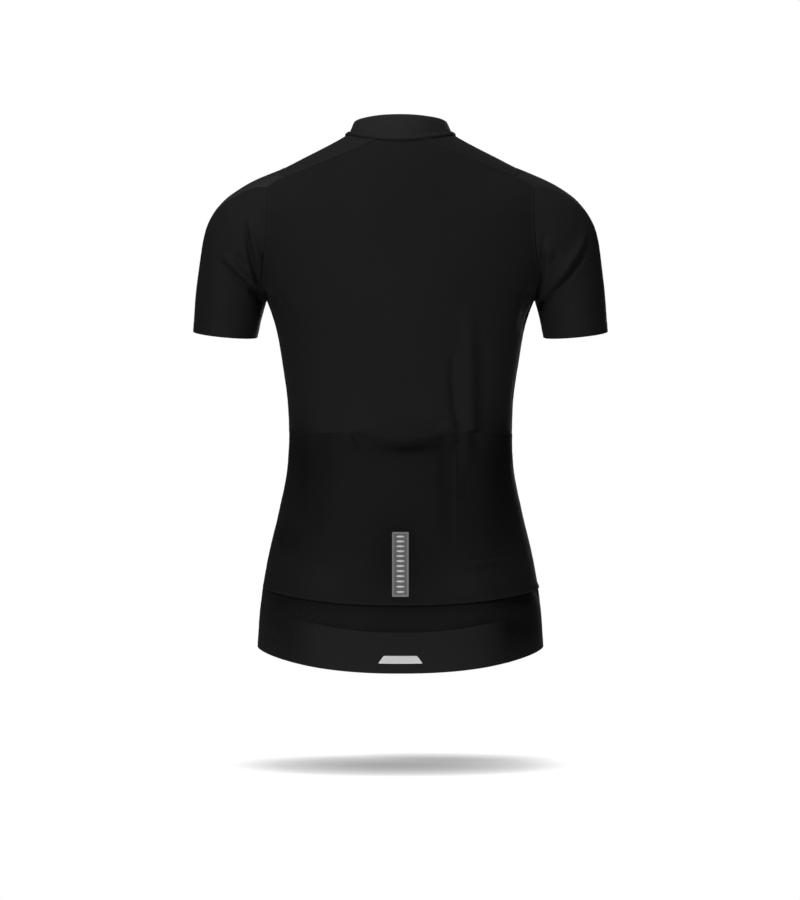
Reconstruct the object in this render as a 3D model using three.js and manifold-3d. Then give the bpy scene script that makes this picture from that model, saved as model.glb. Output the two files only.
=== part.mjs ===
// A short-sleeved cycling jersey, women's size S, filled out as it is when worn, with nobody in it.
// Millimetres. +X is the wearer's left, -Y the front, +Z up.
// The origin is midway between the two points where the shoulders meet the neck.
//
// The body is one surface of rings, from the hem up to the neck, and every panel is a stretch of it.
// A ring is named by its climb, the length up the side of the body, and a place on it by its angle:
// 0 at the middle of the back, 90 degrees at the wearer's left side, 180 at the middle of the front.
import * as THREE from 'three';
import Module from 'manifold-3d';
import { mergeVertices } from 'three/addons/utils/BufferGeometryUtils.js';

const wasm = await Module();
wasm.setup();

const degree = Math.PI / 180;
const jersey = new THREE.Group();

// Driving sizes

const clothThickness = 1.2;
const collarThickness = 1.6;
const overlayThickness = 1.0;
const overlayGap = 0.35;        // between a panel and what is sewn flat on it
const seamInset = 0.2;          // each of two panels stops this far short of their seam
const sleeveInset = 0.8;        // the sleeve's own inset where it is set into the armhole

// Seams and folds are given as seen square on from behind, from this far away and at this height.
const viewDistance = 3200;
const viewHeight = -350;

// Finishes

const finishes = {
  body: { color: 0x1b1b1b, roughness: 0.82, metalness: 0 },
  shoulder: { color: 0x202020, roughness: 0.8, metalness: 0 },
  mesh: { color: 0x161616, roughness: 0.9, metalness: 0 },
  pocket: { color: 0x141414, roughness: 0.8, metalness: 0 },
  gripper: { color: 0x212121, roughness: 0.6, metalness: 0 },
  collar: { color: 0x252525, roughness: 0.75, metalness: 0 },
  tape: { color: 0x121212, roughness: 0.85, metalness: 0 },
  zip: { color: 0x0e0e0f, roughness: 0.4, metalness: 0 },
  metal: { color: 0x2b2c2e, roughness: 0.35, metalness: 0.8 },
  label: { color: 0x2a2a2b, roughness: 0.55, metalness: 0 },
  reflective: { color: 0xd5d7da, roughness: 0.3, metalness: 0.4 },
};

// Tables and the smooth curves through them

function table(columns, rows) {
  return rows.map((row) => Object.fromEntries(columns.map((column, i) => [column, row[i]])));
}

// A cubic through the values at the stops that never overshoots between two of them.
function smoothCurve(stops, values) {
  const last = stops.length - 1;
  const slopes = stops.slice(0, last).map((stop, i) => (values[i + 1] - values[i]) / (stops[i + 1] - stop));
  const tangents = stops.map((stop, i) => {
    if (i === 0) return slopes[0];
    if (i === last) return slopes[last - 1];
    const before = slopes[i - 1];
    const after = slopes[i];
    return before * after <= 0 ? 0 : (2 * before * after) / (before + after);
  });
  return (at) => {
    const place = Math.min(Math.max(at, stops[0]), stops[last]);
    let i = 0;
    while (i < last - 1 && place > stops[i + 1]) i += 1;
    const span = stops[i + 1] - stops[i];
    const s = (place - stops[i]) / span;
    const rise = s * s * (3 - 2 * s);
    const leave = s * (1 - s) * (1 - s);
    const arrive = s * s * (1 - s);
    return values[i] * (1 - rise) + values[i + 1] * rise
      + span * (tangents[i] * leave - tangents[i + 1] * arrive);
  };
}

// The running length along a row of points, each given as [across, up].
function runningLength(points) {
  const lengths = [0];
  for (let i = 1; i < points.length; i += 1) {
    lengths.push(lengths[i - 1] + Math.hypot(points[i][0] - points[i - 1][0], points[i][1] - points[i - 1][1]));
  }
  return lengths;
}

// Curves for every column of a table, over the length along its leading points.
function curvesOf(rows, leading) {
  const stops = runningLength(rows.map(leading));
  const curves = {};
  for (const column of Object.keys(rows[0])) curves[column] = smoothCurve(stops, rows.map((row) => row[column]));
  return { stops, curves };
}

function steps(from, to, count, easing = 1) {
  return Array.from({ length: count + 1 }, (_, i) => from + (to - from) * (i / count) ** easing);
}

function softStep(low, high, value) {
  const s = Math.min(Math.max((value - low) / (high - low), 0), 1);
  return s * s * (3 - 2 * s);
}

// The body's rings. Above the armpits the side of a ring lies inside the sleeve's head and isn't sewn,
// up to the end of the shoulder; from there on the side is the top line of the shoulder.

const torsoRows = table(
  ['sideZ', 'halfWidth', 'backDepth', 'backZ', 'frontDepth', 'frontZ', 'squareness'],
  [
    [-569, 159.6, 116, -591, 104, -552, 2.3],     // hem, longer at the back
    [-535, 157.4, 116, -553, 104, -521, 2.3],
    [-502, 153.4, 114, -518, 103, -492, 2.3],     // foot of the pockets
    [-468, 147.3, 110, -478, 102, -462, 2.3],
    [-418, 135.5, 101, -422, 100, -416, 2.3],
    [-367, 126, 93, -368, 98, -370, 2.3],
    [-332, 124.2, 89, -332, 98, -338, 2.3],       // pocket line, close to the waist
    [-300, 125.4, 88, -301, 100, -308, 2.3],
    [-250, 132, 91, -251, 106, -259, 2.35],
    [-212, 139, 95, -212, 110, -218, 2.4],
    [-181, 150, 97, -181, 111, -184, 2.4],        // armpit
    [-165, 159, 97.5, -163, 111, -169, 2.42],
    [-145, 169, 97, -146, 110, -157, 2.45],
    [-105, 179, 95, -121, 107, -141, 2.5],
    [-75, 176, 93, -104, 104, -130, 2.5],
    [-55, 164, 91, -91, 101, -121, 2.5],
    [-42, 147, 88.5, -79, 98, -114, 2.45],
    [-35, 130.5, 86, -68.5, 94.5, -107.5, 2.4],   // end of the shoulder
    [-23.5, 108, 81, -52, 88, -97, 2.3],
    [-12.3, 86, 74, -34, 78.5, -84, 2.2],
    [-5.4, 73, 68, -22, 69.5, -73.5, 2.1],
    [3, 58.5, 57.5, -6, 53, -57, 2],              // foot of the collar
  ],
);
const torso = curvesOf(torsoRows, (row) => [row.halfWidth, row.sideZ]);

function climbOfRing(sideZ) {
  return torso.stops[torsoRows.findIndex((row) => row.sideZ === sideZ)];
}

const hemClimb = climbOfRing(-569);
const pocketFootClimb = climbOfRing(-502);
const pocketLineClimb = climbOfRing(-332);
const armpitClimb = climbOfRing(-181);
const shoulderEndClimb = climbOfRing(-35);
const neckClimb = climbOfRing(3);

function torsoPoint(climb, angle) {
  const { curves } = torso;
  const squareness = curves.squareness(climb);
  const sine = Math.sin(angle);
  const cosine = Math.cos(angle);
  const reach = (Math.abs(sine) ** squareness + Math.abs(cosine) ** squareness) ** (1 / squareness);
  const across = sine / reach;
  const deep = cosine / reach;
  const depth = cosine >= 0 ? curves.backDepth(climb) : curves.frontDepth(climb);
  const middleZ = cosine >= 0 ? curves.backZ(climb) : curves.frontZ(climb);
  const sideZ = curves.sideZ(climb);
  return new THREE.Vector3(curves.halfWidth(climb) * across, depth * deep, sideZ + (middleZ - sideZ) * deep * deep);
}

// Outward direction of the body's surface.
function torsoNormal(climb, angle) {
  const step = 0.5;
  const turn = 0.2 * degree;
  const low = Math.max(climb - step, hemClimb);
  const high = Math.min(climb + step, neckClimb);
  const up = torsoPoint(high, angle).sub(torsoPoint(low, angle));
  const round = torsoPoint(climb, angle + turn).sub(torsoPoint(climb, angle - turn));
  return up.cross(round).normalize();
}

// Where a point appears when it is seen from behind: [across, up].
function seenFromBehind(point) {
  const spread = viewDistance / (viewDistance - point.y);
  return [point.x * spread, viewHeight + (point.z - viewHeight) * spread];
}

// The seam that bounds the back: up the armhole from the armpit, then along the yoke to the neck.

const backSeam = table(['z', 'x'], [
  [-181, 150], [-171, 152.5], [-156, 155.5], [-145, 155.2], [-126, 152.5], [-105, 150.8], [-78, 149.4],
  [-56, 149], [-52, 145], [-43, 128.5], [-37, 112], [-23, 78], [-15, 59], [-11, 49], [-2, 31], [4, 18],
]);
const backSeamX = smoothCurve(backSeam.map((row) => row.z), backSeam.map((row) => row.x));

// The front armhole is cut a little further in than the back one.
const frontSeam = table(['z', 'x'], [
  [-184, 150], [-176, 150], [-160, 147.5], [-135, 143], [-105, 139.5], [-70, 135], [-35, 130.5],
]);
const frontSeamX = smoothCurve(frontSeam.map((row) => row.z), frontSeam.map((row) => row.x));

// The angle between inside and outside at which a place on the ring stops being within a seam.
function seamAngle(climb, inside, outside, isWithin) {
  const tries = 24;
  let within = inside;
  let beyond = outside;
  if (isWithin(torsoPoint(climb, outside))) return outside;
  for (let i = 0; i < tries; i += 1) {
    const middle = (within + beyond) / 2;
    if (isWithin(torsoPoint(climb, middle))) within = middle;
    else beyond = middle;
  }
  return within;
}

function backEdgeAngle(climb) {
  if (climb <= armpitClimb) return 90 * degree;
  return seamAngle(climb, 5 * degree, 90 * degree, (point) => {
    const [x, z] = seenFromBehind(point);
    return x < backSeamX(z);
  });
}

function frontEdgeAngle(climb) {
  if (climb <= armpitClimb) return 90 * degree;
  return seamAngle(climb, 175 * degree, 90 * degree, (point) => point.x < frontSeamX(point.z));
}

// Folds: soft ridges (height above 0) and troughs (below 0) along short paths, seen from behind or,
// on the front, from ahead. The part holds the largest ones.

const torsoFolds = [
  { path: [[-71, -187], [-71, -250], [-73, -326]], width: 11, height: 2.6 },
  { path: [[-57, -236], [-57, -280], [-63, -326]], width: 9, height: -2.2 },
  { path: [[-86, -205], [-87, -320]], width: 10, height: -1.8 },
];
const leftSleeveFolds = [
  { path: [[203, -126], [190, -141], [178, -152], [163, -166]], width: 9, height: 2.8 },
  { path: [[202, -139], [191, -149], [181, -159], [160, -175]], width: 8, height: -2.6 },
  { path: [[176, -90], [171, -112], [166, -138], [158, -168]], width: 8, height: -2.4 },
];
const rightSleeveFolds = [
  { path: [[208, -100], [204, -118], [194, -134], [182, -152], [169, -167]], width: 9, height: 3.4 },
  { path: [[211, -106], [207, -122], [198, -140], [187, -158], [165, -178]], width: 8, height: -3 },
  { path: [[162, -108], [160, -128], [158, -150]], width: 8, height: -2.4 },
];
const frontSleeveFolds = [
  { path: [[196, -122], [184, -140], [168, -158]], width: 9, height: 2.4 },
  { path: [[198, -138], [186, -153], [166, -172]], width: 8, height: -2.2 },
];

function distanceToPath(x, z, path) {
  let nearest = Infinity;
  for (let i = 1; i < path.length; i += 1) {
    const [x0, z0] = path[i - 1];
    const [x1, z1] = path[i];
    const alongX = x1 - x0;
    const alongZ = z1 - z0;
    const share = ((x - x0) * alongX + (z - z0) * alongZ) / (alongX * alongX + alongZ * alongZ);
    const s = Math.min(Math.max(share, 0), 1);
    nearest = Math.min(nearest, Math.hypot(x - x0 - s * alongX, z - z0 - s * alongZ));
  }
  return nearest;
}

function foldHeight(x, z, folds) {
  let height = 0;
  for (const fold of folds) height += fold.height * Math.exp(-((distanceToPath(x, z, fold.path) / fold.width) ** 2));
  return height;
}

// Closed walls from a grid of skin points

// A skin is rows of { point, normal }. Edges that are sewn to a neighbour draw back by an inset.
function drawBack(skin, insets) {
  const moved = skin.map((row) => row.map((cell) => ({ point: cell.point.clone(), normal: cell.normal })));
  const rowCount = skin.length;
  const columnCount = skin[0].length;
  const shift = (r, c, towardRow, towardColumn, amount) => {
    const away = skin[towardRow][towardColumn].point.clone().sub(skin[r][c].point);
    moved[r][c].point.addScaledVector(away.normalize(), amount);
  };
  for (let r = 0; r < rowCount; r += 1) {
    if (insets.firstColumn) shift(r, 0, r, 1, insets.firstColumn);
    if (insets.lastColumn) shift(r, columnCount - 1, r, columnCount - 2, insets.lastColumn);
  }
  for (let c = 0; c < columnCount; c += 1) {
    if (insets.firstRow) shift(0, c, 1, c, insets.firstRow);
    if (insets.lastRow) shift(rowCount - 1, c, rowCount - 2, c, insets.lastRow);
  }
  return moved;
}

// A closed wall: the skin moved out by lift, a second layer a thickness further in, and a rim between.
function wallGeometry(skin, lift, thickness) {
  const rowCount = skin.length;
  const columnCount = skin[0].length;
  const layerSize = rowCount * columnCount;
  const positions = [];
  for (const height of [lift, lift - thickness]) {
    for (const row of skin) {
      for (const { point, normal } of row) {
        positions.push(point.x + normal.x * height, point.y + normal.y * height, point.z + normal.z * height);
      }
    }
  }
  const index = [];
  const face = (a, b, c, d) => index.push(a, b, c, a, c, d);
  const outer = (r, c) => r * columnCount + c;
  const inner = (r, c) => layerSize + outer(r, c);
  for (let r = 0; r < rowCount - 1; r += 1) {
    for (let c = 0; c < columnCount - 1; c += 1) {
      face(outer(r, c), outer(r, c + 1), outer(r + 1, c + 1), outer(r + 1, c));
      face(inner(r, c), inner(r + 1, c), inner(r + 1, c + 1), inner(r, c + 1));
    }
    const last = columnCount - 1;
    face(outer(r, 0), outer(r + 1, 0), inner(r + 1, 0), inner(r, 0));
    face(outer(r + 1, last), outer(r, last), inner(r, last), inner(r + 1, last));
  }
  for (let c = 0; c < columnCount - 1; c += 1) {
    const last = rowCount - 1;
    face(outer(0, c + 1), outer(0, c), inner(0, c), inner(0, c + 1));
    face(outer(last, c), outer(last, c + 1), inner(last, c + 1), inner(last, c));
  }
  const geometry = new THREE.BufferGeometry();
  geometry.setAttribute('position', new THREE.Float32BufferAttribute(positions, 3));
  geometry.setIndex(signedVolume(positions, index) < 0 ? turnedOver(index) : index);
  geometry.computeVertexNormals();
  return geometry;
}

function signedVolume(positions, index) {
  const corner = (i) => new THREE.Vector3().fromArray(positions, 3 * index[i]);
  let volume = 0;
  for (let i = 0; i < index.length; i += 3) volume += corner(i).dot(corner(i + 1).cross(corner(i + 2))) / 6;
  return volume;
}

function turnedOver(index) {
  const turned = index.slice();
  for (let i = 0; i < turned.length; i += 3) [turned[i + 1], turned[i + 2]] = [turned[i + 2], turned[i + 1]];
  return turned;
}

function addPiece(name, geometry, finish) {
  const mesh = new THREE.Mesh(geometry, new THREE.MeshStandardMaterial(finishes[finish]));
  mesh.name = name;
  jersey.add(mesh);
  return mesh;
}

// A skin on the body: one row for each climb, with the angles that columnsAt gives for it.
function torsoSkin(climbs, columnsAt, liftAt = () => 0) {
  return climbs.map((climb) => columnsAt(climb).map((angle) => {
    const point = torsoPoint(climb, angle);
    const normal = torsoNormal(climb, angle);
    return { point: point.addScaledVector(normal, liftAt(climb, angle, point)), normal };
  }));
}

// The climb, between two, at which the back's seam is seen at this height.
function climbWhereSeamIsSeen(low, high, seenZ) {
  const tries = 30;
  let below = low;
  let above = high;
  for (let i = 0; i < tries; i += 1) {
    const middle = (below + above) / 2;
    if (seenFromBehind(torsoPoint(middle, backEdgeAngle(middle)))[1] < seenZ) below = middle;
    else above = middle;
  }
  return below;
}

// Rows of the body's panels. Neighbours share them, so that both sides of a seam have the same corners.

const cornerClimb = climbWhereSeamIsSeen(armpitClimb + 20, neckClimb, -55.5);    // the back armhole's top corner
const yokeEndClimb = climbWhereSeamIsSeen(armpitClimb + 20, neckClimb, -43);     // the yoke seam's outer end
const crossSeamRise = 2.4;      // rows close together, between which the front widens on to the shoulder
const armpitEasing = 1.7;       // rows lie closer together at the foot of the armhole
const rows = {
  belowPockets: steps(hemClimb, pocketFootClimb, 4),
  behindPockets: steps(pocketFootClimb, pocketLineClimb, 9),
  waist: steps(pocketLineClimb, armpitClimb, 8),
  backArmhole: steps(armpitClimb, cornerClimb, 9, armpitEasing),
  backCorner: steps(cornerClimb, yokeEndClimb, 2),
  frontArmhole: steps(armpitClimb, shoulderEndClimb, 10, armpitEasing),
  crossSeam: steps(shoulderEndClimb, shoulderEndClimb + crossSeamRise, 4),
  shoulder: steps(shoulderEndClimb + crossSeamRise, neckClimb, 5),
  yoke: steps(yokeEndClimb, neckClimb, 5),
};

function joined(...lists) {
  return lists.reduce((all, list) => all.concat(list.slice(1)), [lists[0][0]]);
}

// Pocket dividers, as seen from behind
const leftDividerX = 53;
const rightDividerX = -62.5;

function dividerAngle(climb, dividerX) {
  const side = Math.sign(dividerX);
  return side * seamAngle(climb, 2 * degree, 88 * degree, (point) => seenFromBehind(point)[0] < Math.abs(dividerX));
}

// The back's columns run from the wearer's right edge to the left edge, with one on each divider.
const sideColumns = 6;
const centreColumns = 8;

function backColumns(climb) {
  const edge = backEdgeAngle(climb);
  if (climb > pocketLineClimb + 1) return steps(-edge, edge, 2 * sideColumns + centreColumns);
  return joined(
    steps(-edge, dividerAngle(climb, rightDividerX), sideColumns),
    steps(dividerAngle(climb, rightDividerX), dividerAngle(climb, leftDividerX), centreColumns),
    steps(dividerAngle(climb, leftDividerX), edge, sideColumns),
  );
}

function backFoldLift(climb, angle, point) {
  const [x, z] = seenFromBehind(point);
  return foldHeight(x, z, torsoFolds) * softStep(pocketLineClimb, pocketLineClimb + 12, climb);
}

function makeBackUpper() {
  const climbs = joined(rows.waist, rows.backArmhole, rows.backCorner, rows.yoke);
  const skin = drawBack(torsoSkin(climbs, backColumns, backFoldLift), {
    firstRow: seamInset, lastRow: seamInset, firstColumn: seamInset, lastColumn: seamInset,
  });
  addPiece('back_upper', wallGeometry(skin, 0, clothThickness), 'body');
}

// Behind the pockets the back lies a cloth's thickness lower, so that the pockets lie flush at the sides.
const pocketSink = clothThickness + overlayGap;

function lowerBackSink(climb) {
  return -pocketSink * softStep(pocketFootClimb - 12, pocketFootClimb - 1, climb);
}

function makeBackLower() {
  const climbs = joined(rows.belowPockets, rows.behindPockets);
  const skin = drawBack(torsoSkin(climbs, backColumns, lowerBackSink), {
    lastRow: seamInset, firstColumn: seamInset, lastColumn: seamInset,
  });
  addPiece('back_lower', wallGeometry(skin, 0, clothThickness), 'mesh');
}

// The pocket panel is sewn down at its foot, its sides and the two dividers, and gapes between them.

const centreGape = 12;
const sideGape = 13;
const sideFullness = 1.7;       // the side pockets are fullest towards the dividers, not at the side seam
const lipFlare = 4;
const lipSag = 7;
const lipHeight = 20;

// How far a place is across its pocket, from 0 at one seam to 1 at the other, and which pocket it is.
function placeInPocket(climb, angle) {
  const right = dividerAngle(climb, rightDividerX);
  const left = dividerAngle(climb, leftDividerX);
  const edge = backEdgeAngle(climb);
  if (angle < right) return { pocket: 'side', across: ((angle + edge) / (right + edge)) ** sideFullness };
  if (angle <= left) return { pocket: 'centre', across: (angle - right) / (left - right) };
  return { pocket: 'side', across: ((edge - angle) / (edge - left)) ** sideFullness };
}

function pocketLift(climb, angle) {
  const { pocket, across } = placeInPocket(climb, angle);
  const hump = Math.sin(Math.PI * Math.min(Math.max(across, 0), 1)) ** 1.2;
  const up = (climb - pocketFootClimb) / (pocketLineClimb - pocketFootClimb);
  const gape = pocket === 'centre' ? centreGape : sideGape;
  const lip = pocket === 'centre' ? lipFlare * softStep(pocketLineClimb - lipHeight, pocketLineClimb, climb) : 0;
  return hump * (gape * up ** 1.1 + lip * hump);
}

function makePocketPanel() {
  const footInset = 0.5;
  const skin = torsoSkin(rows.behindPockets, backColumns, pocketLift);
  const lastRow = skin[skin.length - 1];
  const mouthClimb = rows.behindPockets[rows.behindPockets.length - 1];
  backColumns(mouthClimb).forEach((angle, c) => {
    const { pocket, across } = placeInPocket(mouthClimb, angle);
    if (pocket === 'centre') lastRow[c].point.z -= lipSag * Math.sin(Math.PI * across) ** 2;
  });
  const drawn = drawBack(skin, { firstRow: footInset, lastRow: 1, firstColumn: seamInset, lastColumn: seamInset });
  addPiece('pocket_panel', wallGeometry(drawn, 0, clothThickness), 'pocket');
}

// Front panels run from the zip round to the side seam, and over the shoulder to the yoke seam.

const zipEdgeX = 6;
const frontColumnCount = 10;

// The angle at which the front's surface is this far from its middle line.
function frontAngleAt(climb, x) {
  return Math.PI - Math.asin(x / torso.curves.halfWidth(climb));
}

// A row of the front ends at the armhole or, over the shoulder, at the yoke seam. Behind the shoulder's top
// line it bends to the climb of the yoke's own row, so that the two panels meet corner to corner.
function frontRow(climb) {
  if (climb <= shoulderEndClimb) return { climb, end: frontEdgeAngle(climb), yokeClimb: climb, yokeAngle: 0 };
  const rowInShoulder = Math.max(rows.shoulder.findIndex((row) => Math.abs(row - climb) < 0.01), 0);
  const yokeClimb = rows.yoke[rowInShoulder];
  const yokeAngle = backEdgeAngle(yokeClimb);
  const acrossSeam = Math.min((climb - shoulderEndClimb) / crossSeamRise, 1);
  return { climb, end: 90 * degree + (yokeAngle - 90 * degree) * acrossSeam, yokeClimb, yokeAngle };
}

function climbOnFrontRow(row, angle) {
  const behind = softStep(0, 1, (90 * degree - angle) / (90 * degree - row.yokeAngle));
  return row.climb + (row.yokeClimb - row.climb) * behind;
}

const bodyClimbs = joined(
  rows.belowPockets, rows.behindPockets, rows.waist, rows.frontArmhole, rows.crossSeam, rows.shoulder,
);

function frontSkin() {
  return bodyClimbs.map((climb) => {
    const row = frontRow(climb);
    return steps(row.end, frontAngleAt(climb, zipEdgeX), frontColumnCount).map((angle) => {
      const ownClimb = climbOnFrontRow(row, angle);
      return { point: torsoPoint(ownClimb, angle), normal: torsoNormal(ownClimb, angle) };
    });
  });
}

function mirrored(skin) {
  const flip = (vector) => new THREE.Vector3(-vector.x, vector.y, vector.z);
  return skin.map((row) => row.map(({ point, normal }) => ({ point: flip(point), normal: flip(normal) })));
}

function makeFronts() {
  const skin = drawBack(frontSkin(), { lastRow: seamInset, firstColumn: seamInset });
  addPiece('front_left', wallGeometry(skin, 0, clothThickness), 'shoulder');
  addPiece('front_right', wallGeometry(mirrored(skin), 0, clothThickness), 'shoulder');
}

// The armhole, from the armpit up the back, along the yoke, across the shoulder and down the front.

const backArmholeRows = joined(rows.backArmhole, rows.backCorner);

function armholeCurve() {
  const crossSeam = rows.crossSeam.slice(1, -1).reverse().map((climb) => {
    const row = frontRow(climb);
    return torsoPoint(climbOnFrontRow(row, row.end), row.end);
  });
  return [
    ...backArmholeRows.map((climb) => torsoPoint(climb, backEdgeAngle(climb))),
    ...crossSeam,
    ...rows.frontArmhole.slice().reverse().map((climb) => torsoPoint(climb, frontEdgeAngle(climb))),
  ];
}

const armhole = armholeCurve();
const armholeCorner = rows.backArmhole.length - 1;

// Sleeve sections fan out from the armpit. Each runs between a point on the outer line, which carries on
// the shoulder, and one on the inner line. The back of a section hangs lower by its drop.

const sleeveRows = table(
  ['outerX', 'outerZ', 'innerX', 'innerZ', 'backDepth', 'frontDepth', 'drop'],
  [
    [130.5, -35, 150, -181, 66, 78, 0],
    [146.5, -41.6, 150.8, -184, 65, 75, 0],
    [166, -50.4, 151.6, -187, 63.5, 71, 0],
    [181.4, -59.4, 152.4, -190, 62, 67, 0],
    [194, -68.3, 153.2, -193, 60, 63.5, 0],
    [203, -77.3, 154, -196.5, 58, 60, 0.5],
    [209.6, -86, 154.8, -200, 56.5, 57.5, 1],
    [217, -101, 156, -205, 54, 54, 2],
    [221.6, -120, 157, -210, 52, 51.5, 3],
    [225.5, -145, 158, -215, 50, 49.5, 4],
    [229.6, -181, 159, -220, 48.5, 48, 4.5],
    [232, -217, 160, -224, 47, 47, 5],
  ],
);
const sleeve = curvesOf(sleeveRows, (row) => [row.outerX, row.outerZ]);
const sleeveLength = sleeve.stops[sleeve.stops.length - 1];

// A place on a section: turn 0 is the outer line, 90 degrees the back, 180 the inner line.
function sectionPoint(along, turn) {
  const { curves } = sleeve;
  const middleX = (curves.outerX(along) + curves.innerX(along)) / 2;
  const middleZ = (curves.outerZ(along) + curves.innerZ(along)) / 2;
  const halfX = (curves.outerX(along) - curves.innerX(along)) / 2;
  const halfZ = (curves.outerZ(along) - curves.innerZ(along)) / 2;
  const sine = Math.sin(turn);
  const depth = sine >= 0 ? curves.backDepth(along) : curves.frontDepth(along);
  return new THREE.Vector3(
    middleX + halfX * Math.cos(turn),
    depth * sine,
    middleZ + halfZ * Math.cos(turn) - curves.drop(along) * sine,
  );
}

function turnOf(point) {
  const outer = sectionPoint(0, 0);
  const middle = outer.clone().add(sectionPoint(0, Math.PI)).divideScalar(2);
  const half = outer.sub(middle);
  const out = point.clone().sub(middle).dot(half) / half.lengthSq();
  return Math.atan2(point.y / (point.y > 0 ? sleeveRows[0].backDepth : sleeveRows[0].frontDepth), out);
}

// The first section is brought on to the armhole, and the change fades out along the sleeve.
const armholeTurns = armhole.map((point, k) => {
  if (k === 0) return Math.PI;
  return k === armhole.length - 1 ? -Math.PI : turnOf(point);
});
const armholeChange = armhole.map((point, k) => point.clone().sub(sectionPoint(0, armholeTurns[k])));

// The seam between a sleeve's back and front pieces leaves the top corner of the back armhole, runs out
// just behind the outer line and closes in on it towards the cuff.
const sleeveSeam = table(['along', 'degrees'], [
  [0, armholeTurns[armholeCorner] / degree], [25, 35], [50, 30], [75, 26], [100, 20], [125, 14], [165, 9], [235, 4],
]);
const sleeveSeamDegrees = smoothCurve(sleeveSeam.map((row) => row.along), sleeveSeam.map((row) => row.degrees));

// The turn of a lengthwise line of the sleeve, which starts at a corner of the armhole.
function lineTurn(along, k) {
  const start = armholeTurns[k];
  const cornerTurn = armholeTurns[armholeCorner];
  const seamTurn = sleeveSeamDegrees(along) * degree;
  if (k <= armholeCorner) return Math.PI - (Math.PI - start) * ((Math.PI - seamTurn) / (Math.PI - cornerTurn));
  return -Math.PI + (start + Math.PI) * ((seamTurn + Math.PI) / (cornerTurn + Math.PI));
}

function sleevePoint(along, k) {
  const fade = (1 - along / sleeveLength) ** 2.2;
  return sectionPoint(along, lineTurn(along, k)).addScaledVector(armholeChange[k], fade);
}

function sleeveNormal(along, k) {
  const step = 1;
  const last = armhole.length - 1;
  const down = sleevePoint(Math.min(along + step, sleeveLength), k).sub(sleevePoint(Math.max(along - step, 0), k));
  const round = sleevePoint(along, k === last ? 1 : k + 1).sub(sleevePoint(along, k === 0 ? last - 1 : k - 1));
  return round.cross(down).normalize();
}

function sleeveSkin(folds) {
  return steps(0, sleeveLength, 13).map((along) => armhole.map((_, k) => {
    const point = sleevePoint(along, k);
    const normal = sleeveNormal(along, k);
    const [x, z] = point.y > 0 ? seenFromBehind(point) : [point.x, point.z];
    const clearOfEnds = softStep(0, 25, along) * softStep(0, 20, sleeveLength - along);
    const lift = foldHeight(x, z, point.y > 0 ? folds : frontSleeveFolds) * clearOfEnds;
    return { point: point.addScaledVector(normal, lift), normal };
  }));
}

function makeSleeve(side, folds) {
  const skin = sleeveSkin(folds);
  const insets = { firstRow: sleeveInset, firstColumn: seamInset, lastColumn: seamInset };
  const pieces = {
    back: skin.map((row) => row.slice(0, armholeCorner + 1)),
    front: skin.map((row) => row.slice(armholeCorner)),
  };
  for (const [piece, part] of Object.entries(pieces)) {
    const sewn = drawBack(part, insets);
    const placed = side === 'left' ? sewn : mirrored(sewn);
    const finish = piece === 'back' ? 'body' : 'shoulder';
    addPiece(`sleeve_${side}_${piece}`, wallGeometry(placed, 0, clothThickness), finish);
  }
}

// The stand collar and the tape over the seam at its foot. Both are open at the front, where the zip runs.

const collarRows = table(
  ['halfWidth', 'sideZ', 'backDepth', 'backZ', 'frontDepth', 'frontZ'],
  [
    [58.2, 3.4, 57.3, -5.6, 53, -56.6],
    [55.4, 9.5, 55.8, 5, 52.4, -45],
    [52, 16.5, 53.2, 16.5, 51, -29],
    [49.8, 18.8, 51.6, 20.6, 50, -21],
  ],
);
const collar = curvesOf(collarRows, (row) => [0, row.backZ]);
const collarHeight = collar.stops[collar.stops.length - 1];

function collarPoint(up, angle) {
  const { curves } = collar;
  const sine = Math.sin(angle);
  const cosine = Math.cos(angle);
  const depth = cosine >= 0 ? curves.backDepth(up) : curves.frontDepth(up);
  const middleZ = cosine >= 0 ? curves.backZ(up) : curves.frontZ(up);
  const sideZ = curves.sideZ(up);
  return new THREE.Vector3(curves.halfWidth(up) * sine, depth * cosine, sideZ + (middleZ - sideZ) * cosine * cosine);
}

function collarNormal(up, angle) {
  const step = 0.4;
  const turn = 0.3 * degree;
  const low = Math.max(up - step, 0);
  const high = Math.min(up + step, collarHeight);
  const rise = collarPoint(high, angle).sub(collarPoint(low, angle));
  const round = collarPoint(up, angle + turn).sub(collarPoint(up, angle - turn));
  return rise.cross(round).normalize();
}

const collarColumnCount = 32;

function collarAngles(edgeX) {
  const end = Math.PI - Math.asin(edgeX / collarRows[0].halfWidth);
  return steps(-end, end, collarColumnCount);
}

function collarSkin(ups, angles) {
  return ups.map((up) => angles.map((angle) => ({ point: collarPoint(up, angle), normal: collarNormal(up, angle) })));
}

function makeCollar() {
  const skin = drawBack(collarSkin(steps(0, collarHeight, 4), collarAngles(zipEdgeX)), { firstRow: 0.5 });
  addPiece('collar', wallGeometry(skin, 0, collarThickness), 'collar');
}

function makeNeckBand() {
  const reachBelow = 3.5;
  const reachAbove = 2.6;
  const angles = collarAngles(zipEdgeX + 1);
  const onBody = torsoSkin([neckClimb - reachBelow], () => angles)[0];
  const onCollar = collarSkin([reachAbove], angles)[0];
  const lift = 0.6 + overlayThickness;
  addPiece('neck_band', wallGeometry([onBody, onCollar], lift, overlayThickness), 'collar');
}

// What is laid on the lower back: the gripper band along the hem, the reflective tab and the label patch.

// The body's angle where it is seen this far across, from behind.
function angleSeenAt(climb, x) {
  return Math.sign(x) * seamAngle(climb, 0, 90 * degree, (point) => seenFromBehind(point)[0] < Math.abs(x));
}

const gripperHalfWidth = 124;
const gripperRise = { middle: 43, end: 50 };
const gripperLift = overlayGap + 0.15 + overlayThickness;

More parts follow.
